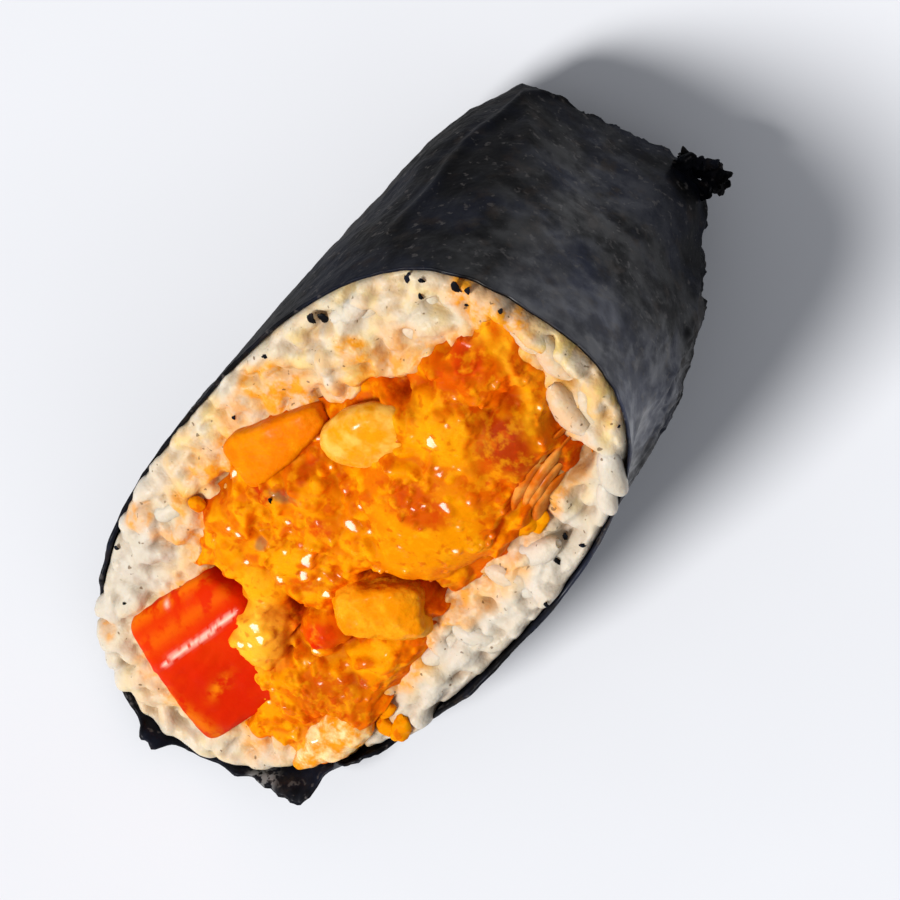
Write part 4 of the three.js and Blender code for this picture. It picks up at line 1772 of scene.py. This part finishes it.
    @staticmethod
    def scatter(rng: np.random.Generator, spacing: float, xs: Pair, ss: Pair) -> tuple[Points, Points]:
        """Places at about even distances: a slanted lattice, each point moved at random.

        Args:
            rng: the numbers' source.
            spacing: distance between rows, mm.
            xs: range across, mm.
            ss: range along, mm.

        Returns:
            x and s in a random order.
        """
        x, s = np.meshgrid(np.arange(*xs, spacing * 1.1), np.arange(*ss, spacing))
        x = x + (np.arange(len(x)) % 2)[:, None] * spacing * 0.55
        x = x + rng.normal(0, spacing * 0.3, x.shape)
        s = s + rng.normal(0, spacing * 0.3, x.shape)
        order = rng.permutation(x.size)
        return x.ravel()[order], s.ravel()[order]

    def overhang(self, a: Points) -> Points:
        """How far the rice bulges over the sheet's edge: a soft swell at the lower left.

        Args:
            a: angle round the face, radians.

        Returns:
            Outward shift, mm.
        """
        left = bell(np.degrees(a) - 238, 22, 4)
        left = left + 0.6 * bell(np.degrees(a) - 190, 34, 4)
        right = 0.55 * bell(np.degrees(a) - 338, 16, 4)
        lumpy = 0.3 * np.clip(flat_ripple(a * 9, 0 * a, 1.0, 44, 2), 0, 1)
        return 0.7 * left + right + lumpy

    def build(self, material: Material, nori: "Nori") -> Piece:
        """Meshes the rice: rings from the middle of the face out to its rim, then down the skin.

        Over the last stretch before the rim the surface bends down as a quarter circle. It bulges
        over the sheet only where the sheet's torn edge lies lower.

        Args:
            material: the finish.
            nori: the sheet round it.

        Returns:
            The piece.
        """
        r, middle = self.relief, np.array(self.filling.middle)
        a = BALL.even_angles(self.around, self.inset)
        rim_x, rim_s = BALL.skin(np.zeros_like(a), a, self.inset)
        out_x, out_s = np.cos(a), np.sin(a)
        away = np.stack([rim_x, rim_s], -1) - middle
        far = np.hypot(*away.T)
        shares = np.concatenate([np.linspace(0.06, 0.46, 8), np.linspace(0.5, 1, 92)])
        x = middle[0] + shares[:, None] * away[:, 0]
        s = middle[1] + shares[:, None] * away[:, 1]
        h = r.top(x, s)
        near = np.clip(1 - (1 - shares[:, None]) * far / self.edge, 0, 1)
        h = h - self.edge * (1 - np.sqrt(1 - near**2))
        end, torn = -h[-1], -nori.rim(a)[0]
        bulge = self.overhang(a) * smoothstep(-0.6, 0.5, torn - end)
        push = bulge * near**2
        x, s = x + push * out_x, s + push * out_s
        # Down the skin the bulge fades out over the sheet's torn edge.
        rows = np.linspace(0, 1, 22)[1:] ** 1.6
        p = end + (BALL.depth - self.inset - end) * rows[:, None]
        sx, ss = BALL.skin(np.maximum(p, 0), a, self.inset)
        grains = ripple(sx, ss, p, 2.6, 77, 2)
        fade = smoothstep(torn + 0.5, np.maximum(torn - 1.2, end + 0.2), p)
        lump = (bulge + 0.3 * grains * np.minimum(bulge * 2, 1)) * np.where(p <= end, 1, fade)
        sx, ss = sx + lump * out_x, ss + lump * out_s
        points = np.concatenate([BALL.place(x, s, h), BALL.place(sx, ss, -p)])
        points[..., 2] = np.maximum(points[..., 2], 0.6 * MM)
        fx, fs = np.concatenate([x, sx]).ravel(), np.concatenate([s, ss]).ravel()
        marks = self.marks(fx, fs)
        marks["grain"] = r.shades(fx, fs, 9, 0.12)
        # Painted shade: the hollow mark darkens the relief's hollows and the gap by the crab leaves.
        shaded_gap = np.clip(self.shaded_gap.weight(fx, fs, 0.0), 0, 1)
        marks["hollow"] = np.maximum(r.at(r.hollow(0.9, 1.3), fx, fs), shaded_gap)
        marks = {key: with_poles(value) for key, value in marks.items()}
        return finished("rice_packed", closed_rings(points), marks, material, Slot.RICE, "rice")

    def marks(self, x: Points, s: Points) -> dict[str, Points]:
        """Stain and smear masks at places of the face.

        Args:
            x, s: across and along, mm.

        Returns:
            The two masks by name.
        """
        wobble = flat_ripple(x, s, 2.6, 33)
        near = 0.45 * smoothstep(1.3, 1.0, self.filling.share(x, s) + 0.1 * wobble)
        stain = np.maximum(strongest(self.stains, x, s, wobble), near)
        smear = strongest(self.smears, x, s, wobble).clip(0, 1)
        edge = 0.85 * smoothstep(1.15, 1.02, self.filling.share(x, s) + 0.08 * wobble)
        return {"stain": stain, "smear": np.maximum(smear, edge)}


@dataclass
class LooseGrains:
    """Whole grains that lie on the rice or stick out over the sheet's edge.

    A row of proud is a grain's place (x, s, h), its turn and its size; strewn more lie at random.
    """

    rice: Rice
    proud: Rows = (
        (7.6, 60.2, 0.1, -19, 1.15), (14.4, 57.4, 0, -47, 1.1), (15.6, 54.8, 0, -52, 0.8),
        (9.4, 61.4, -0.5, -33, 1), (0, 64.2, -0.6, -20, 1), (3.6, 63.7, -0.5, -22, 1.1),
        (14, 44.6, -0.3, 62, 1.1), (13.4, 40.6, -0.4, 20, 1.1), (15.8, 41.6, -0.4, 80, 1.1),
        (13.2, 28.6, -0.5, 75, 1), (14.6, 32.4, -0.5, 20, 1),
    )
    strewn: int = 10

    def build(self, material: Material) -> Piece:
        """Each grain is a ball stretched, blunted at one end and bent, set on the relief.

        Args:
            material: the finish.

        Returns:
            The piece, with all grains in one mesh.
        """
        rng = np.random.default_rng(77)
        unit = round_box_rings(9, 14, 2.3)
        relief, sets = self.rice.relief, [*self.proud]
        angle = rng.uniform(0, 2 * np.pi, self.strewn)
        reach = rng.uniform(0.72, 0.93, self.strewn)
        mx, ms = self.rice.filling.middle
        for a, share in zip(angle, reach):
            x, s = BALL.skin(np.float64(0), a, 1.0)
            gx, gs = mx + (x - mx) * share, ms + (s - ms) * share
            if self.rice.filling.share(gx, gs) < 1.06:
                continue
            top = float(relief.top(gx, gs))
            sets.append((gx, gs, top + rng.uniform(-0.95, -0.7), rng.uniform(0, 180), 0.9))
        grains = []
        for gx, gs, gh, turn, size in sets:
            half = np.asarray(self.rice.grain_half) * size
            shape = unit * half * (1 + 0.1 * unit[..., [1]])
            shape = shape[..., [1, 0, 2]] * [half[0] / half[1], half[1] / half[0], 1]
            shape[..., 1] += 0.12 * shape[..., 0] ** 2 / half[0]
            noise = solid_ripple(shape + 10 * gx, 1.6, 4, 2)
            shape = shape * (1 + 0.07 * noise[..., None])
            grains.append(set_in(shape, (gx, gs, gh), (turn, rng.normal(0, 8), rng.normal(0, 8))))
        points, faces = joined(grains)
        stained = self.rice.marks(*np.array(sets)[:, :2].T)
        marks = {key: np.repeat(0.35 * value, len(grains[0][0])) for key, value in stained.items()}
        marks |= {"grain": np.full(len(points), 0.8), "hollow": np.zeros(len(points))}
        return finished("rice_loose_grains", (points, faces), marks, material, Slot.RICE)


# ---- Nori --------------------------------------


@dataclass
class Nori:
    """The sheet of nori: wrapped over the ball, folded at the base corner, torn along its rim.

    A tooth is its angle round the face, its height, its width in degrees and its lean; a dip is an
    angle, a depth and a width. side_sheen is the sheen by angle, right_sheen and base_sheen by depth;
    the sheen is a coat, and also painted sheen and shade in the colour.
    folds are the angles of the two long folds, in radians; lip is how far the inner skin stops below
    the rim.
    """

    around: int = 520
    rows: int = 130
    inner_rows: int = 18
    thick: float = 0.36
    lip: float = 0.06
    teeth: Rows = (
        (265, 1.3, 3, 0.5), (269, 1.1, 2, 0.7), (282, 0.1, 5, 0), (291, 0.6, 3, 0.1),
        (299, 1.1, 4, 0.3), (304.5, 1.7, 3.6, 0.5), (308.5, 1.5, 3.4, 0.5), (312, 1.2, 3, 0.4),
        (319, 1.8, 4, -0.7), (326, 1.7, 3.5, -0.6), (350, 0.7, 5, 0), (8, 0.6, 5, 0), (184, 0.5, 3, 0),
        (198, 0.5, 2.5, 0.1), (208, 0.4, 2, 0.2), (218, 0.6, 2.5, 0.2), (168, 0.4, 3, 0),
    )
    dips: tuple[Triple, ...] = (
        (238, 1.8, 17), (337, 1.1, 7), (30, 0.3, 10), (190, 1, 26), (279, 0.5, 8),
    )
    side_sheen: tuple[Pair, ...] = (
        (0, 0.9), (28, 1.6), (34, 2), (44, 1.7), (60, 1.5), (96, 1.4), (105, 0.85), (116, 0.35),
        (128, 0.08), (180, 0.08), (300, 0.4), (340, 0.7), (360, 0.9),
    )
    right_sheen: tuple[Pair, ...] = (
        (0, 0.85), (6, 0.75), (10, 0.54), (15, 0.4), (20, 0.28), (28, 0.1), (36, 0.15),
    )
    base_sheen: tuple[Pair, ...] = ((0, 0.8), (10, 0.68), (20, 0.52), (28, 0.52), (36, 0.3))
    folds: Pair = (0.78, 2.36)

    def rim(self, a: Points) -> tuple[Points, Points]:
        """The torn edge: a level, fine tears, teeth and dips.

        Args:
            a: angle round the face, radians.

        Returns:
            Its height above the face, mm, and how far it leans out per mm of height.
        """
        fine = 0.16 * flat_ripple(a * 20, 0 * a, 1.4, 61, 4)
        height, lean = -0.25 + 0.1 * np.sin(7 * a + 1) + fine, 0.1 + 0 * a
        torn = 1 + 0.25 * flat_ripple(a * 24, 0 * a, 1.0, 62, 2)
        for at, tall, wide, out in self.teeth:
            tooth = self.swell(a, at, wide)
            height, lean = height + tall * tooth * torn, lean + out * tooth
        for at, deep, wide in self.dips:
            height = height - deep * self.swell(a, at, wide)
        return height, lean

    @staticmethod
    def swell(a: Points, at: float, wide: float) -> Points:
        """A bell curve round the face, 1 at one angle: e to (2 cos(difference) - 2) / width squared."""
        return np.exp(2 * (np.cos(a - math.radians(at)) - 1) / math.radians(wide) ** 2)

    def build(self, material: Material) -> Piece:
        """Meshes the sheet: an inner skin up to the rim and the outer one down to the corner.

        Args:
            material: the finish.

        Returns:
            The piece.
        """
        a = BALL.even_angles(self.around, 0.0)
        rim, lean = self.rim(a)
        share = np.linspace(0, 1, self.rows)
        down = 0.35 * share + 0.65 * (1 - np.cos(np.pi * share)) / 2
        p = -rim + (BALL.depth + rim) * down[:, None]
        x, s = BALL.skin(p, a, 0.0)
        curl = self.curl(p, a, lean)
        outer = BALL.place(x + curl * np.cos(a), s + curl * np.sin(a), -p)
        normal = grid_normals(outer)
        if (normal[20, :, 2] * (outer[20, :, 2] - outer[20, :, 2].mean())).sum() < 0:
            normal = -normal
        outer = outer + normal * (self.wrinkles(outer / MM, a, p) * MM)[..., None]
        outer[..., 2] = np.maximum(outer[..., 2], 0.0)
        share = np.linspace(0, 1, self.inner_rows)
        q = self.lip - rim + (BALL.depth - self.thick + rim - self.lip) * share[:, None] ** 1.3
        x, s = BALL.skin(np.maximum(q, -9), a, self.thick)
        curl = self.curl(q, a, lean)
        inner = BALL.place(x + curl * np.cos(a), s + curl * np.sin(a), -q)
        inner[..., 2] = np.maximum(inner[..., 2], self.thick * MM)
        points, faces = closed_rings(np.concatenate([inner[::-1], outer]))
        # The sheen mark, by angle round the face and by depth: it sets the coat and paints sheen and shade
        # into the colour.
        right = np.interp(p, *zip(*self.right_sheen))
        base = np.interp(p, *zip(*self.base_sheen))
        side = np.interp(np.degrees(a), *zip(*self.side_sheen))
        side = side * (right + (base - right) * smoothstep(1.3, 1.9, a))
        sheen = with_poles(np.append(np.full(q.size, 0.2), side), 0.2)
        marks = {"starch": self.starch(points / MM), "sheen": sheen}
        return finished("nori_sheet", (points, faces), marks, material, Slot.NORI, "nori")

    def curl(self, p: Points, a: Points, lean: Points) -> Points:
        """How far the part above the face bends outwards: its lean, crumpled by noise.

        Args:
            p: depth below the face, mm.
            a: angle round the face, radians.
            lean: outward shift per mm of height.

        Returns:
            The shift, mm.
        """
        high = np.maximum(-p, 0)
        crumple = ripple(a[None, :] * 28, p / 1.6, 0 * p, 1.0, 65, 2)
        return high * (lean + 0.3 * crumple)

    def wrinkles(self, at: Points, a: Points, p: Points) -> Points:
        """Outward relief: wide waves, two folds down the sides, crumples at the base corner, grain.

        Args:
            at: points of the sheet, mm.
            a: angle round the section.
            p: depth, mm.

        Returns:
            Displacement, mm.
        """
        x, y, z = np.moveaxis(at, -1, 0)
        wide = 0.3 * ripple(x, y, z, 9.0, 72, 2)
        grains = 0.15 * ripple(x, y, z, 2.2, 71, 3)
        wave = ripple(x, y, z, 7.0, 75, 2)
        fold = sum(bell(a - at_fold + 0.06 * wave, 0.05) for at_fold in self.folds)
        long = ripple(a[None, :] * 6 + 1.2 * wave, p / 12, 0 * p, 1.3, 73, 2)
        crease = 0.1 * (1 - np.abs(long) * 2.2).clip(0, 1) ** 2
        side = bell(a - 0.5, 0.32) * smoothstep(5, 14, p)
        corner = np.maximum(smoothstep(33, 39, p) * 0.7, side)
        crumple = ripple(x, y, z, 2.8, 74, 3)
        crumple = 0.6 * (1 - np.abs(crumple) * 2).clip(0, 1) ** 2 * corner
        fade = smoothstep(-1, 3, p)
        folds = 0.35 * fold * smoothstep(3, 12, p)
        return (wide + grains + crease + crumple + folds) * (0.25 + 0.75 * fade)

    @staticmethod
    def starch(at: Points) -> Points:
        """Where pale starch has dried on the sheet: near its right edge and inside the lower flap.

        Args:
            at: points, mm.

        Returns:
            Mask from 0 to 1.
        """
        spots = (((16.2, 17.6, 35.4), 2.8, 0.8), ((7.6, -33.8, 5.4), 2.2, 0.3))
        return sum(
            share * smoothstep(1.0, 0.4, np.linalg.norm(at - np.array(spot), axis=-1) / size)
            for spot, size, share in spots
        )


@dataclass(frozen=True)
class Crumple:
    """A small torn bit of nori: a sheet crumpled round a middle in the part's frame, mm."""

    name: str
    middle: Triple
    half: Triple
    turns: Triple
    seed: int

    def shape(self) -> Surface:
        """A flat rounded cushion folded by two noises, one for its outline and one for its folds.

        Returns:
            Points in metres and faces.
        """
        unit = round_box_rings(44, 64, 2.6)
        shape = unit * np.asarray(self.half)
        x, y, z = np.moveaxis(shape, -1, 0)
        ragged = 1 + 0.45 * flat_ripple(x, y, 0.9, self.seed, 3)[..., None]
        shape = shape * ragged
        fold = ripple(x, y, 0 * z + 3, 1.1, self.seed + 5, 3)
        shape[..., 2] += 0.4 * fold * max(self.half)
        shape = shape @ turned(*self.turns).T + np.asarray(self.middle)
        shape[..., 2] = np.maximum(shape[..., 2], 0.05)
        return closed_rings(shape * MM)


@dataclass(frozen=True)
class NoriScraps:
    """Torn bits of nori: the tuft at the base corner, and flecks on the rice.

    A fleck is its place (x, s), its size and its turn.
    """

    bits: tuple[Crumple, ...] = (
        Crumple("tuft", (6.9, 39.3, 8.8), (0.9, 2.2, 0.4), (-50, 20, 40), 5),
        Crumple("tuft_tip", (9.0, 39.2, 8.6), (1.0, 2.0, 0.4), (-75, 40, 10), 9),
        Crumple("tuft_hook", (10.4, 38.5, 8.0), (0.8, 1.2, 0.4), (20, 50, 20), 12),
        Crumple("tuft_low", (8.8, 37.2, 8.6), (1.0, 1.4, 0.3), (-30, 50, 0), 15),
        Crumple("tuft_back", (6.2, 38.0, 9.4), (1.2, 1.6, 0.3), (10, 30, 20), 21),
    )
    flecks: Rows = (
        (-10.9, 61.6, 1.1, 20), (-9.8, 62.6, 0.8, 100), (-9, 61.2, 0.7, 60), (-7, 64.4, 1.3, 60),
        (-6, 64.9, 1, 20), (-5.2, 63, 0.6, 120), (-15.6, 51.9, 1.2, 50), (-14.6, 52.2, 1.3, 80),
        (-2.6, 65.6, 0.7, 15), (16, 45.6, 0.9, 80), (15.2, 47.6, 0.8, 30), (16.9, 48.4, 0.6, 120),
        (17.6, 42, 0.7, 60), (-17.2, 16.5, 0.6, 70), (-15.8, 37.5, 0.5, 20), (12.4, 62.2, 0.4, 10),
        (-8.6, 34.6, 0.7, 60), (-13.4, 12, 0.5, 110), (-16.9, 45.4, 0.7, 140),
    )

    def build(self, material: Material, rice: Relief, filling: Relief) -> Piece:
        """Joins all bits and flecks into one mesh.

        Args:
            material: the finish.
            rice: relief that the flecks lie on.
            filling: relief that may lie above it.

        Returns:
            The piece.
        """
        sets = [bit.shape() for bit in self.bits]
        unit = round_box_rings(10, 16, 2.2)
        for number, (x, s, size, turn) in enumerate(self.flecks):
            noise = solid_ripple(unit + 7.0 * number, 0.9, 6, 3)
            shape = unit * (1 + 0.8 * noise[..., None]) * [0.28 * size, 0.46 * size, 0.12]
            shape[..., 0] += 0.25 * shape[..., 1] ** 2 / size
            top = max(float(relief.top(x, s)) for relief in (rice, filling))
            sets.append(set_in(shape, (x, s, top + 0.06), (turn, 10, 0)))
        points, faces = joined(sets)
        marks = {"starch": np.zeros(len(points)), "sheen": np.full(len(points), 0.12)}
        return finished("nori_scraps", (points, faces), marks, material, Slot.NORI)


# ---- Scene -------------------------------------


@dataclass(frozen=True)
class Studio:
    """The pale floor, the soft key light, the fill and the camera.

    The sky lights the part, is mirrored more weakly, and shows as the backdrop behind the floor.
    """

    camera_at: Triple = (-39.2, 36.0, 479.7)
    camera_right: Triple = (0.819, 0.574, 0.0)
    aim: Triple = (3.2, 3.6, 14.0)
    lens: float = 198.0
    to_key: Pair = (-0.46, -0.89)
    key_height: float = 46.5
    key_strength: float = 3.7
    key_softness: float = 17.0
    key_colour: Triple = (1.0, 0.985, 0.965)
    sky: tuple[float, ...] = (0.93, 0.95, 1.0, 1.0)
    backdrop: tuple[float, ...] = (0.9, 0.91, 0.93, 1.0)
    fill: float = 0.34
    mirrored: float = 0.06
    floor_half: float = 3.0

    def build(self, floor_material: Material) -> None:
        """Makes the floor, the lights, the world and the camera.

        Args:
            floor_material: the floor's finish.
        """
        scene = bpy.context.scene
        mesh = bpy.data.meshes.new("floor")
        ways = ((-1, -1), (1, -1), (1, 1), (-1, 1))
        corners = [(x * self.floor_half, y * self.floor_half, 0) for x, y in ways]
        mesh.from_pydata(corners, [], [(0, 1, 2, 3)])
        floor = bpy.data.objects.new("floor", mesh)
        scene.collection.objects.link(floor)
        mesh.materials.append(floor_material)
        self.light()
        self.camera()
        scene.view_settings.view_transform = "Standard"
        scene.view_settings.look = "None"

    def light(self) -> None:
        """A sun with a soft edge as the key, and an even pale world as the fill."""
        scene = bpy.context.scene
        key = bpy.data.lights.new("key", "SUN")
        key.energy, key.angle = self.key_strength, math.radians(self.key_softness)
        key.color = self.key_colour
        lamp = bpy.data.objects.new("key", key)
        high = math.radians(self.key_height)
        to_key = Vector((*[c * math.cos(high) for c in self.to_key], math.sin(high)))
        lamp.rotation_mode = "QUATERNION"
        lamp.rotation_quaternion = to_key.to_track_quat("Z", "Y")
        lamp.location = to_key * 0.8
        scene.collection.objects.link(lamp)
        world = bpy.data.worlds.new("studio")
        world.use_nodes = True
        tree = Tree(world.node_tree)
        world.node_tree.nodes.clear()
        path = tree.add("ShaderNodeLightPath")
        shades = [
            tree.add("ShaderNodeBackground", Color=colour, Strength=strength).outputs[0]
            for colour, strength in (
                (self.sky, self.fill), (self.sky, self.mirrored), (self.backdrop, 1.0),
            )
        ]
        shade = shades[0]
        for ray, other in zip(("Is Glossy Ray", "Is Camera Ray"), shades[1:]):
            mixed = tree.add("ShaderNodeMixShader", Fac=path.outputs[ray])
            world.node_tree.links.new(shade, mixed.inputs[1])
            world.node_tree.links.new(other, mixed.inputs[2])
            shade = mixed.outputs[0]
        out = tree.add("ShaderNodeOutputWorld")
        world.node_tree.links.new(shade, out.inputs["Surface"])
        scene.world = world

    def camera(self) -> None:
        """The camera looks down at the ball, turned so that the part's own right is up and right."""
        data = bpy.data.cameras.new("camera")
        data.lens, data.sensor_width = self.lens, 36.0
        data.clip_start, data.clip_end = 0.01, 20.0
        camera = bpy.data.objects.new("camera", data)
        at, aim = Vector(self.camera_at) * MM, Vector(self.aim) * MM
        back = (at - aim).normalized()
        right = Vector(self.camera_right)
        right = (right - back * right.dot(back)).normalized()
        up = back.cross(right)
        turn = Matrix((right, up, back)).transposed()
        camera.matrix_world = Matrix.Translation(at) @ turn.to_4x4()
        bpy.context.scene.collection.objects.link(camera)
        bpy.context.scene.camera = camera


def main() -> None:
    """Builds every piece in order."""
    logging.basicConfig(level=logging.INFO, format="%(name)s: %(message)s")
    effects = Effects()
    Studio().build(FloorFinish().make(effects))

    filling = Filling()
    filling.sculpt()
    filling.build(FillingFinish().make(effects))

    dry = {"depth": 0.16, "roughness": 0.45}
    cooked = PieceFinish("salmon_cooked", (222, 114, 0), (230, 140, 4), (186, 64, 2), 0.6, coat=0.15, **dry)
    firm = PieceFinish("salmon_firm", (226, 132, 2), (236, 162, 26), (186, 64, 2), 0.7, coat=0.2, **dry)
    creamy = PieceFinish("salmon_creamy", (228, 148, 10), (244, 204, 106), (190, 76, 4), 0.5, coat=0.5)
    pale = PieceFinish("salmon_pale", (226, 140, 20), (240, 208, 150), (204, 96, 8), 0.95, 700.0, 0.8)
    slab = Bite("salmon_slab", (-11.2, 39.2, 0.5), (2.2, 5.5, 1.9), (-17, -3, -8), 5.0, 0.2, 3, -0.42)
    disc = Bite("salmon_disc", (-5.1, 46.5, 2.0), (3.2, 4.9, 1.8), (-32, 0, 12), 2.4, 0.3, 4)
    cube = Bite("salmon_cube", (5.8, 30.9, 1.8), (2.7, 4.4, 2.5), (-50, -6), 4.0, 0.7, 5, 0.2)
    end = Bite("salmon_end", (9.9, 12.8, 0.8), (2.0, 5.2, 1.8), (-8, 6), 2.8, 0.7, 6, 0.7)
    for bite, node, finish in (
        (slab, "salmon_wedge", cooked), (disc, "salmon_round", creamy),
        (cube, "salmon_block", firm), (end, "salmon_tip", pale),
    ):
        bite.build(finish.make(effects), Slot.SALMON, node)
    red = PieceFinish("crab_red", (206, 38, 0), (216, 66, 2), (184, 20, 0), 0.3, 260.0, 0.08, 0.05, 0.5)
    CrabStick().build(red.make(effects))
    tan = PieceFinish("crab_leaf_tan", (200, 96, 12), (222, 148, 64), (104, 36, 4), 0.9, 380.0, 0.15, 0.06)
    CrabLeaves().build(tan.make(effects))

    rice = Rice(filling.outline)
    rice.sculpt()
    rice_material = RiceFinish().make(effects)
    rice.build(rice_material, Nori())
    LooseGrains(rice).build(rice_material)

    nori = NoriFinish().make(effects)
    Nori().build(nori)
    NoriScraps().build(nori, rice.relief, filling.relief)


if __name__ == "__main__":
    main()
